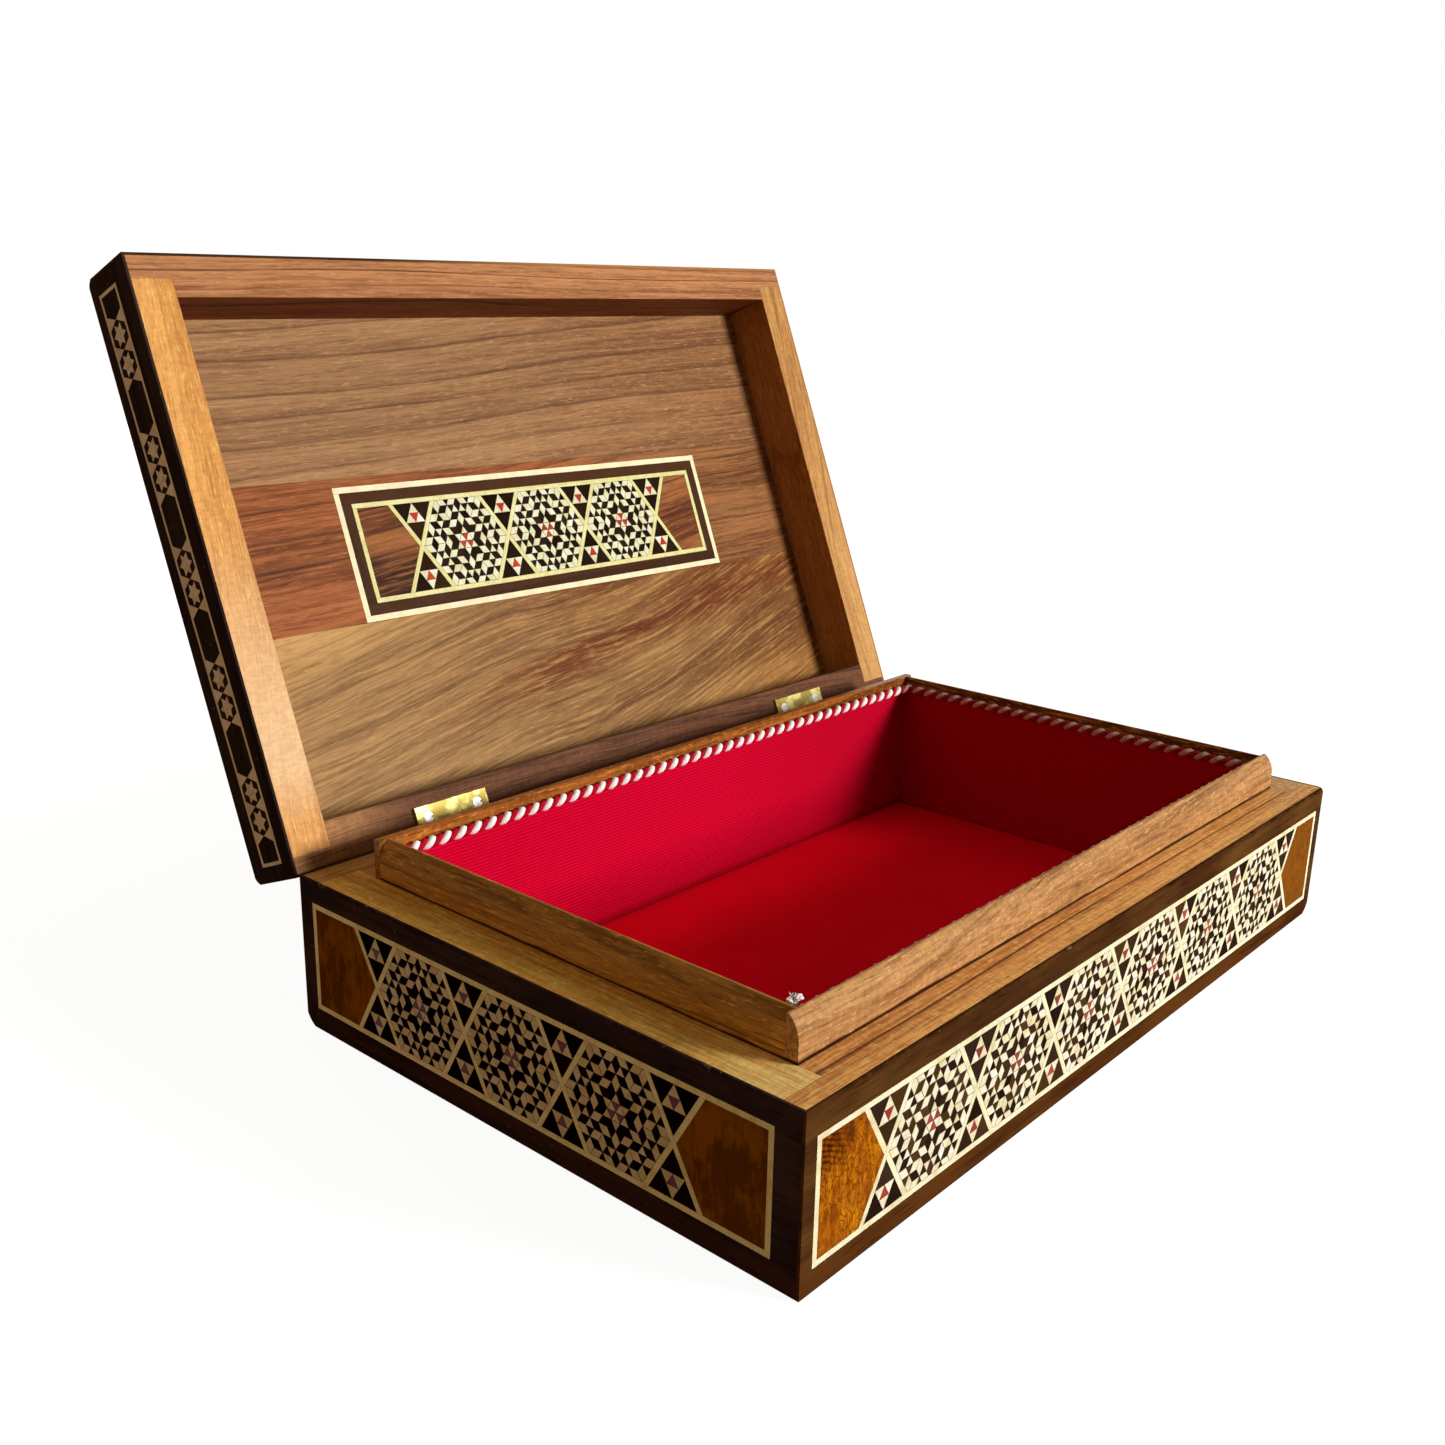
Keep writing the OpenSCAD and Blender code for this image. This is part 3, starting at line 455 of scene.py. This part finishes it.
# ---------------------------------------------------------------- cord
# A two-ply cord, one red strand and one white, glued round the top of the lining. It hides the
# cut edge of the cloth. Its loose end is frayed in the front left corner.
tray_x, tray_y0, tray_y1 = 0.1098, -0.0642, 0.0624
cord_inset, cord_z, cord_lay, bend = 0.00195, 0.0466, 0.0049, 0.0020
cord_x, cord_y0, cord_y1 = tray_x - cord_inset, tray_y0 + cord_inset, tray_y1 - cord_inset


def cord_route():
    """Points along the middle of the cord, going round from the front left corner."""
    points = []
    corners = [(-cord_x, cord_y0, math.pi), (cord_x, cord_y0, 1.5 * math.pi),
               (cord_x, cord_y1, 0.0), (-cord_x, cord_y1, 0.5 * math.pi)]
    for x, y, start in corners:
        cx, cy = x - math.copysign(bend, x), y - (bend if y > 0 else -bend)
        for k in range(9):
            a = start + k * math.pi / 16
            points.append(Vector((cx + bend * math.cos(a), cy + bend * math.sin(a), cord_z)))
    whole = []
    for a, b in zip(points, points[1:] + points[:1]):
        steps = max(1, round((b - a).length / 0.0004))
        whole += [a.lerp(b, k / steps) for k in range(steps)]
    return whole


def strand(name, phase, radius, offset):
    """One ply as a tube that winds round the route, this far off its middle."""
    route = cord_route()
    count = len(route)
    along, total = [0.0], 0.0
    for a, b in zip(route, route[1:] + route[:1]):
        total += (b - a).length
        along.append(total)
    turns = round(total / cord_lay)
    mesh = bpy.data.meshes.new(name)
    middles = []
    for i, p in enumerate(route):
        ahead = (route[(i + 1) % count] - route[i - 1]).normalized()
        out_way = ahead.cross(Vector((0, 0, 1)))
        angle = phase + 2 * math.pi * turns * along[i] / total
        middles.append(p + (out_way * math.cos(angle) + Vector((0, 0, 1)) * math.sin(angle)) * offset)
    verts, faces, sides = [], [], 10
    for i, p in enumerate(middles):
        ahead = (middles[(i + 1) % count] - middles[i - 1]).normalized()
        u = ahead.cross(Vector((0, 0, 1))).normalized()
        w = u.cross(ahead)
        for k in range(sides):
            a = 2 * math.pi * k / sides
            verts.append(p + (u * math.cos(a) + w * math.sin(a)) * radius)
    for i in range(count):
        for k in range(sides):
            a, b = i * sides + k, i * sides + (k + 1) % sides
            c, d = ((i + 1) % count) * sides + (k + 1) % sides, ((i + 1) % count) * sides + k
            faces.append((a, b, c, d))
    mesh.from_pydata([v[:] for v in verts], [], faces)
    mesh.polygons.foreach_set("use_smooth", [True] * len(faces))
    piece = bpy.data.objects.new(name, mesh)
    bpy.context.collection.objects.link(piece)
    return piece


def yarn(name, pale, deep):
    g = Finish(name)
    fibre = g.noise(g.place, 3200, rough=0.7)
    # Painted shade: the cord along the right wall, which lies in shadow, is darkened.
    right_wall_shade = g.axes(g.place)[0].between(0.100, 0.107)
    colour = right_wall_shade.times(fibre.between(0.3, 0.7).tint(deep, pale), rgb("b48c84"))
    return g.surface({"Base Color": colour, "Roughness": 0.8, "Specular IOR Level": 0.15},
                     height=fibre, depth=0.00012)


red_ply = strand("cord_red_ply", 0.0, 0.00080, 0.00058)
red_ply.data.materials.append(yarn("cord_red", rgb("cc0026"), rgb("a00016")))
white_ply = strand("cord_white_ply", math.pi, 0.00090, 0.00062)
white_yarn = yarn("cord_white", rgb("ffffff"), rgb("f4eeea"))
white_ply.data.materials.append(white_yarn)
for ply in (red_ply, white_ply):
    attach(ply, "base")
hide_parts("trim_cord")

# the cut end: three lumps of fluffed yarn, with short loose threads that stand out of them
rng = random.Random(7)
tuft_mesh = bmesh.new()
root = Vector((-tray_x + 0.0026, tray_y0 + 0.0026, cord_z + 0.0031))
for shift, size in (((0.0011, -0.0001, 0.0001), 0.00078), ((-0.0002, 0.0010, -0.0003), 0.00066),
                    ((0.0002, 0.0002, -0.0011), 0.0007)):
    lump = bmesh.ops.create_icosphere(tuft_mesh, subdivisions=4, radius=size)["verts"]
    for v in lump:
        v.co *= 1.0 + 0.5 * noise.noise(v.co * 2600 + Vector((size * 9e4, 0, 0)))
        v.co = Vector((v.co.x * 1.25, v.co.y, v.co.z * 0.85)) + root + Vector(shift)
loose_threads, thread_r, thread_parts = 26, 0.00006, 5
for k in range(loose_threads):
    way = Vector((rng.uniform(-0.4, 1.0), rng.uniform(-0.5, 1.0), rng.uniform(0.2, 1.0))).normalized()
    u = way.orthogonal().normalized()
    w = way.cross(u)
    sag, reach = rng.uniform(-0.0006, 0.0002), rng.uniform(0.0010, 0.0019)
    ring = []
    for j in range(thread_parts + 1):
        t = j / thread_parts
        mid = root + Vector((0.0005, 0.0004, -0.0003)) + way * reach * t + Vector((0, 0, sag)) * t * t
        r = thread_r * (1.0 - 0.4 * t)
        ring.append([tuft_mesh.verts.new(mid + (u * math.cos(a) + w * math.sin(a)) * r)
                     for a in (0, 1.571, 3.142, 4.712)])
    for a, b in zip(ring, ring[1:]):
        for i in range(4):
            tuft_mesh.faces.new((a[i], a[(i + 1) % 4], b[(i + 1) % 4], b[i]))
    tuft_mesh.faces.new(ring[-1])
bmesh.ops.recalc_face_normals(tuft_mesh, faces=tuft_mesh.faces)
mesh = bpy.data.meshes.new("cord_tuft")
tuft_mesh.to_mesh(mesh)
mesh.polygons.foreach_set("use_smooth", [True] * len(mesh.polygons))
tuft = bpy.data.objects.new("cord_tuft", mesh)
bpy.context.collection.objects.link(tuft)
mesh.materials.append(white_yarn)
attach(tuft, "base")
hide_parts("trim_tuft")


# ---------------------------------------------------------------- veneer
# Dark walnut veneer, glued on every outside face and varnished. The arris along the rim is
# rubbed, with a few small chips where the varnish has gone white.
def veneer(name, along, pale, deep, lid=False, seed=0.0):
    """along is the axis that the grain follows."""
    g = Finish(name)
    place = closed(g) if lid else g.place
    x, z = g.axes(place)[::2]
    stretch = {"X": (0.06, 1, 1), "Y": (1, 0.06, 1)}[along]
    at = g.start.node("Mapping", {}, {"Vector": place, "Location": (seed, seed, seed), "Scale": stretch})
    figure = g.noise(at, 170, 5, 0.6, twist=0.3)
    pore = g.noise(at, 1900, 2, 0.6)
    cloud = g.noise(place, 34)
    speck = g.noise(place, 620, 1)
    colour = (figure * 0.6 + cloud * 0.4).between(0.38, 0.62).tint(deep, pale)
    colour = (pore.between(0.56, 0.68) * 0.5).times(colour, rgb("6a5040"))
    colour = (speck.between(0.74, 0.78) * 0.3).tint(colour, rgb("8a8078"))
    chip = g.noise(place, 110, 5, 0.7)
    below_joint = z.between(base_h, base_h + 0.0002, 1.0, 0.0)
    worn = z.between(base_h - 0.0014, base_h - 0.0002) * below_joint
    if lid:
        bare = below_joint * x.between(-0.06, 0.03)
        colour = bare.tint(colour, rgb("b07a42"))
    else:
        colour = (z.between(0.003, 0.012, 1.0, 0.0) * 0.5).times(colour, rgb("d8a890"))
        colour = (worn * chip.between(0.46, 0.56) * 0.5).times(colour, rgb("6a5850"))
        colour = (worn * chip.between(0.62, 0.65) * 0.35).tint(colour, rgb("9a8a74"))
    return g.surface({"Base Color": colour, "Roughness": 0.36 + pore * 0.16, "Specular IOR Level": 0.0},
                     height=figure * 0.3 - pore * 0.4 + worn * chip, depth=0.00004, round_edge=0.0003)


dress(veneer("walnut_veneer_long", "X", rgb("65411d"), rgb("442713")), "veneer_front", "veneer_back")
# The end faces run their grain along Y and take darker tones, which are painted shade.
dress(veneer("walnut_veneer_side_shaded", "Y", rgb("4e3534"), rgb("2f2324"), seed=0.4),
      "veneer_left", "veneer_right")
dress(veneer("walnut_veneer_lid", "X", rgb("503420"), rgb("352016"), lid=True, seed=0.2),
      "lid_edge_front", "lid_edge_back", "lid_top")
# The lid's end edges take darker tones too: painted shade.
dress(veneer("walnut_veneer_lid_side_shaded", "Y", rgb("40302c"), rgb("2c1f1d"), lid=True, seed=0.6),
      "lid_edge_left", "lid_edge_right")


# ---------------------------------------------------------------- strings
# Pale lemonwood strips, let in round each band and crossed between the star tiles. Each is cut
# from a different length, so no two are quite the same tone.
def inlay(name, tones, lid=False, scale=520.0, stain=None, side=None, outer=None, shine=0.08):
    """Small flat pieces of wood under varnish. Each loose piece takes its own one of the tones. stain
    is their cloudy stain, side darkens the box's end faces as painted shade, and outer tints the
    border of the inner panel."""
    g = Finish(name)
    place = closed(g) if lid else g.place
    own = g.start.node("NewGeometry", out="Random Per Island")
    own_turn = g.start.node("CombineXYZ", {}, {0: own * 3, 1: own * 7, 2: own * 5})
    turned = g.start.node("VectorRotate", {"rotation_type": "EULER_XYZ"},
                          {"Vector": place, "Rotation": own_turn})
    fibre = g.noise(turned, scale * 4, rough=0.6)
    cloud = g.noise(place, scale * 0.5)
    stops = [(k / (len(tones) - 1), rgb(tone)) for k, tone in enumerate(tones)]
    colour = g.start.node("ValToRGB", {"stops": stops}, {0: own})
    colour = (fibre.between(0.42, 0.6) * 0.4 + cloud.between(0.4, 0.6) * 0.3).times(colour, rgb("e2d6bc"))
    if stain:
        colour = (cloud.between(0.56, 0.68) * 0.4).tint(colour, rgb(stain))
    x, y, z = g.axes(place)
    # Painted shade: the end faces of the box are darkened and warmed by the side colour.
    if side:
        colour = x.calc("ABSOLUTE").between(half_l - 0.001, half_l - 0.0005).times(colour, rgb(side))
    if outer:
        past_sides = (y - x * 0.0105).calc("ABSOLUTE").between(0.0155, 0.0158)
        past_ends = x.calc("ABSOLUTE").between(0.0705, 0.0708)
        inside_lid = z.between(0.0572, 0.0576, 1.0, 0.0)
        border = past_sides.calc("MAXIMUM", past_ends) * inside_lid
        colour = border.tint(colour, cloud.between(0.4, 0.6).tint(rgb(outer), rgb("f6e4b8")))
    return g.surface({"Base Color": colour, "Roughness": 0.32 + fibre * 0.12,
                      "Specular IOR Level": shine}, height=fibre * 0.4 + cloud * 0.4, depth=0.00004)


string_tones = ["faf3cc", "f5ebbc", "fcf6d8", "f2e9c0"]
dress(inlay("lemonwood_string", string_tones, stain="cdb468", side="fff0d0"),
      "strings_front", "strings_back", "strings_left", "strings_right")
dress(inlay("lemonwood_string_lid", ["f2eeb4", "e8e49c", "f0eaae"], lid=True, outer="fbf0c4"),
      "lid_top_strings", "medallion_strings")


# ---------------------------------------------------------------- star tiles
# Slices of bundled sticks: cream, near black and a few red ones, glued into hexagons that show
# interlaced stars. The cream and red pieces are the frame's own and stand on a dark ground.
pale_tones = ["fdf4de", "f4eacc", "f0e9be", "faead2", "eaddae", "f8f1da", "eee8cc", "fff8e8"]
dress(inlay("pale_tile_wood", pale_tones, stain="cfc07c", side="e8d4b8"),
      "light_front", "light_back", "light_left", "light_right")
dress(inlay("pale_tile_wood_lid", ["f0f2d4", "e6ebc2", "f6f4dc", "e2e6b8", "f2ecd0"], lid=True),
      "lid_top_light", "medallion_light")
red_tones = ["a02a1c", "8a2014", "b83c28", "6e1a10"]
dress(inlay("red_tile_wood", red_tones, side="985038"), "red_base")
dress(inlay("red_tile_wood_lid", ["c8382c", "b22c20", "d04434"], lid=True), "lid_red")
dress(inlay("glue_ground", ["1c100a", "22140c"], shine=0.0),
      "dark_front", "dark_back", "dark_left", "dark_right")
dress(inlay("border_wood", ["523420", "402818"], lid=True, scale=260, shine=0.03),
      "lid_top_dark", "medallion_dark")


# ---------------------------------------------------------------- dark mosaic pieces
# The dark sticks' slices, a third of a millimetre thick. They are glued to the ground between the
# pale ones and lie flush with them, each from a different stick. Fine brown glue lines part them all.
unit, tile_w, string_w = 0.0026, 0.0156, 0.0014
pitch, band_h = 2 * (tile_w + string_w / math.sqrt(3)), tile_w * math.sqrt(3) - 0.0013
glue, piece_top, piece_foot, joint_lift = 0.00004, 0.000004, 0.00031, 0.000004
joint_out, joint_in = -0.000015, 0.000075


def point(k, i):
    """Point i of row k of a tile's triangular lattice, in the sector that starts along X."""
    return Vector((unit * (k - i / 2), unit * i * math.sqrt(0.75)))


def shape(*corners):
    """An outline through these points of the lattice."""
    return [point(*corner) for corner in corners]


dark_sector = [shape((k - 1, i), (k, i), (k + 1, i + 1), (k, i + 1))
               for k, i in ((2, 0), (2, 1), (5, 2))]
dark_sector += [shape((k, i), (k, i + 1), (k - 1, i)) for k, i in ((5, 1), (5, 3), (6, 1), (6, 4))]
dark_sector += [shape((3, 0), (4, 1), (4, 2), (3, 1)), shape((4, 2), (4, 3), (3, 3), (3, 2)),
                [point(4, 0), point(5, 1) * Vector((1, -1)), point(5, 0), point(5, 1)]]

pale_sector = [shape((k - 1, i), (k, i), (k + 1, i + 1), (k, i + 1))
               for k, i in ((3, 1), (4, 0), (4, 3))]
pale_sector += [shape((k - 1, i), (k, i + 1), (k, i + 2), (k - 1, i + 1)) for k, i in ((6, 4), (6, 1))]
pale_sector += [shape((k, i), (k, i + 1), (k - 1, i + 1), (k - 1, i)) for k, i in ((6, 0), (6, 3))]
pale_sector += [shape((4, i), (4, i + 1), (5, i + 1)) for i in (1, 2)]
pale_sector += [[point(2, 0), point(3, 1) * Vector((1, -1)), point(3, 0), point(3, 1)],
                shape((0, 0), (1, 0), (1, 1)), shape((1, 0), (1, 1), (2, 1))]


def spread_over(count, outlines):
    """The outlines of one sector, set round every tile of a band."""
    return [[Matrix.Rotation(math.radians(60 * s), 2) @ p + Vector(((j - (count - 1) / 2) * pitch, 0))
             for p in outline]
            for j in range(count) for s in range(6) for outline in outlines]


def band_pieces(count, high):
    """Outlines of the dark pieces of a band with this many tiles, high from string to string."""
    found = spread_over(count, dark_sector)
    wide = (high / 2 - string_w) / math.sqrt(3)
    low = high / 2 - wide / 2 * math.sqrt(3)
    for j in range(count + 1):
        for s in (1, -1):
            for corner in ([(0, string_w), (wide / 2, low), (-wide / 2, low)],
                           [(wide / 2, low), (wide, high / 2), (0, high / 2)],
                           [(-wide / 2, low), (0, high / 2), (-wide, high / 2)]):
                found.append([Vector(c) * s + Vector(((j - count / 2) * pitch, 0)) for c in corner])
    return found


def drawn_in(piece, by, limit):
    """The outline drawn in by a distance, and cut off where it would pass y = limit or -limit."""
    middle = sum(piece, Vector((0, 0))) / len(piece)
    a, b = piece[0] - middle, piece[1] - middle
    deep = abs(a.cross(b)) / (a - b).length
    piece = [p + (middle - p) * by / deep for p in piece]
    for side in (1, -1):
        kept = []
        for a, b in zip(piece, piece[1:] + piece[:1]):
            if side * a.y <= limit:
                kept.append(a)
            if (side * a.y - limit) * (side * b.y - limit) < 0:
                kept.append(a.lerp(b, (side * limit - a.y) / (b.y - a.y)))
        piece = kept
    return piece


def lid_opened(x, y, z):
    """A point given with the lid shut, where it is with the lid open."""
    pivot = Vector((0, pivot_y, pivot_z))
    return Matrix.Rotation(-lid_turn, 3, "X") @ (Vector((x, y, z)) - pivot) + pivot


def panel_turned(x, y, z):
    """A point of the inner panel, which was glued in a little askew."""
    turn = math.radians(0.6)
    return lid_opened(x * math.cos(turn) - y * math.sin(turn), x * math.sin(turn) + y * math.cos(turn), z)


def flat_piece(name, mesh_in_work, material, body):
    """Link the mesh as a piece of its own that moves with a body."""
    mesh = bpy.data.meshes.new(name)
    mesh_in_work.to_mesh(mesh)
    piece = bpy.data.objects.new(name, mesh)
    bpy.context.collection.objects.link(piece)
    mesh.materials.append(material)
    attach(piece, body)


def wall_of(built, near, far):
    """The faces between two rings with as many points each."""
    for i in range(len(near)):
        j = (i + 1) % len(near)
        built.faces.new((near[i], near[j], far[j], far[i]))


dark_tones = ["2a1a14", "3c281e", "241610", "4e361c", "33221c", "583c26", "2e1e18"]
dark_wood = {"base": inlay("dark_tile_wood", dark_tones, side="6c4c44", shine=0.0),
             "lid": inlay("dark_tile_wood_lid", ["241a14", "30221a", "1c140e", "3c2818"], lid=True,
                          shine=0.0)}
joint = {"base": inlay("joint_glue", ["3a2210", "4a3018"], side="8c6458", shine=0.03),
         "lid": inlay("joint_glue_lid", ["3a2a14", "4a3a1c"], lid=True, shine=0.03)}
band_z, end_band_z, end_band_y = 0.0194, 0.020, 0.00115
lid_top_z, panel_y, panel_z = 0.0595, 0.00019, 0.0564
for name, body, count, scale, put in (
        ("front", "base", 6, 1.0, lambda x, y, d: Vector((x, d - half_w, band_z + y))),
        ("back", "base", 6, 1.0, lambda x, y, d: Vector((-x, half_w - d, band_z + y))),
        ("left", "base", 3, 0.971, lambda x, y, d: Vector((d - half_l, end_band_y - x, end_band_z + y))),
        ("right", "base", 3, 0.971, lambda x, y, d: Vector((half_l - d, x - end_band_y, end_band_z + y))),
        ("lid_top", "lid", 6, 1.0, lambda x, y, d: lid_opened(x, y, lid_top_z - d)),
        ("panel", "lid", 3, 0.985, lambda x, y, d: panel_turned(x, panel_y - y, panel_z + d))):
    high = band_h / scale
    built = bmesh.new()
    for outline in band_pieces(count, high):
        outline = drawn_in(outline, glue, high / 2 - glue)
        if len(outline) < 3:
            continue
        rings = [[built.verts.new(put(p.x * scale, p.y * scale, depth)) for p in outline]
                 for depth in (piece_top, piece_foot)]
        for ring in rings:
            built.faces.new(ring)
        wall_of(built, *rings)
    bmesh.ops.recalc_face_normals(built, faces=built.faces)
    flat_piece("mosaic_" + name, built, dark_wood[body], body)
    built = bmesh.new()
    for outline in spread_over(count, pale_sector):
        rims = [drawn_in(outline, by, high / 2 - by) for by in (joint_out, joint_in)]
        if len(rims[0]) == len(rims[1]) >= 3:
            wall_of(built, *([built.verts.new(put(p.x * scale, p.y * scale, -joint_lift)) for p in rim]
                             for rim in rims))
    flat_piece("joints_" + name, built, joint[body], body)


# ---------------------------------------------------------------- end panels
# Orange burl veneer at both ends of every band, crackled under its varnish: golden at the front
# left, plainer at the right, and dark on the side faces, which is painted shade. The panel under
# the lid has reddish walnut.
def burl(name, pale, mid, dark, lid=False):
    g = Finish(name)
    place = closed(g) if lid else g.place
    x, z = g.axes(place)[::2]
    warp = g.noise(place, 160, twist=0.6, out="Color")
    bent = g.start.node("VectorMath", {"operation": "MULTIPLY_ADD"},
                        {0: warp, 1: (0.003, 0.003, 0.003), 2: place})
    tall = g.stretched(bent, (1, 0.35, 1) if lid else (1, 1, 0.35))
    curl = g.noise(tall, 620, 5, 0.6)
    cloud = g.noise(place, 90)
    cells = g.start.node("TexVoronoi", {"feature": "DISTANCE_TO_EDGE"},
                         {"Vector": tall, "Scale": 1100, "Randomness": 1.0})
    darker_end = (x - z * 0.6).between(-0.137, -0.117, -0.05, 0.01)
    colour = g.start.node("ValToRGB", {"stops": [(0.36, dark), (0.5, mid), (0.64, pale)]},
                          {0: curl * 0.55 + cloud * 0.45 + darker_end})
    crackle = cells.between(0.0, 0.12, 1.0, 0.0) * cloud.between(0.36, 0.5)
    colour = (crackle * 0.7).times(colour, rgb("6e3a14"))
    if not lid:
        stripe = (((x * 0.5 + z) * 5200 + cloud * 14).calc("SINE") * 0.5 + 0.5).between(0.3, 0.9)
        corner = z.between(0.018, 0.029) * x.between(-0.118, -0.106, 1.0, 0.0)
        colour = (corner * (stripe * 0.45 + 0.35)).times(colour, rgb("6a3818"))
        plain = cloud.between(0.3, 0.7).tint(rgb("784818"), rgb("683e14"))
        colour = (x.between(0.09, 0.10) * 0.75).tint(colour, plain)
        # Painted shade: the box's end faces take darker tones.
        shaded_end_face = x.calc("ABSOLUTE").between(half_l - 0.00015, half_l - 0.00005)
        shaded = (curl * 0.5 + cloud * 0.5).between(0.42, 0.6).tint(rgb("6a3a05"), rgb("965808"))
        colour = (shaded_end_face * 0.95).tint(colour, shaded)
    return g.surface({"Base Color": colour, "Roughness": 0.34, "Specular IOR Level": 0.0},
                     height=curl - crackle * 0.6, depth=0.00003)


def dark_heart(f, flat, colour, broad):
    """A black streak low in the left panel."""
    x, y = f.axes(flat)[:2]
    low = (y + (broad - 0.5) * 0.02).between(0.0005, 0.004) * x.between(-0.045, -0.04, 1.0, 0.0)
    return (low * broad.between(0.42, 0.5) * 0.85).tint(colour, rgb("2a160e"))


dress(burl("burl_panel", rgb("d58a15"), rgb("af5f0e"), rgb("6b340e")), "panels_base")
dress(burl("burl_panel_lid", rgb("b07430"), rgb("8c501c"), rgb("5a2c10"), lid=True), "lid_panels")
dress(timber("panel_walnut", rgb("a2673a"), rgb("6a3a20"), rgb("2a120a"), along=math.radians(-6),
             lid=True, spacing=0.006, lines=0.9, bands=0.9, fibre=0.8, fleck=0.2, seed=0.95,
             patch=dark_heart), "medallion_panels")


# ---------------------------------------------------------------- lid edge strip
# Tan lines, stars and corner triangles let into the dark edge of the lid.
dress(inlay("tan_inlay", ["ecd0a4", "dcb888", "f0d8b0", "ceac7c"], lid=True), "lid_edge_inlay")


# ---------------------------------------------------------------- hinges and screws
# Pressed brass butt hinges, bright and a little scratched, each leaf held by two slotted screws.
g = Finish("hinge_brass")
drawn = g.noise(g.stretched(g.place, (0.06, 1, 1)), 2600, 2)
smear = g.noise(g.place, 260, 4)
dress(g.surface({"Base Color": smear.between(0.4, 0.6).tint(rgb("cabb70"), rgb("8a7836")),
                 "Metallic": 0.8, "Roughness": 0.3 + smear * 0.2},
                height=drawn * 0.6 + smear * 0.4, depth=0.00002, round_edge=0.0002),
      "hinge_leaf_base_left", "hinge_leaf_base_right", "hinge_leaf_lid_left", "hinge_leaf_lid_right")
g = Finish("screw_steel")
scuff = g.noise(g.place, 900)
dress(g.surface({"Base Color": scuff.tint(rgb("f0f0ee"), rgb("c8cac8")), "Metallic": 0.8,
                 "Roughness": 0.25 + scuff * 0.2}, height=scuff, depth=0.00003, round_edge=0.00015),
      "hinge_pins", "screws_base", "screws_lid")
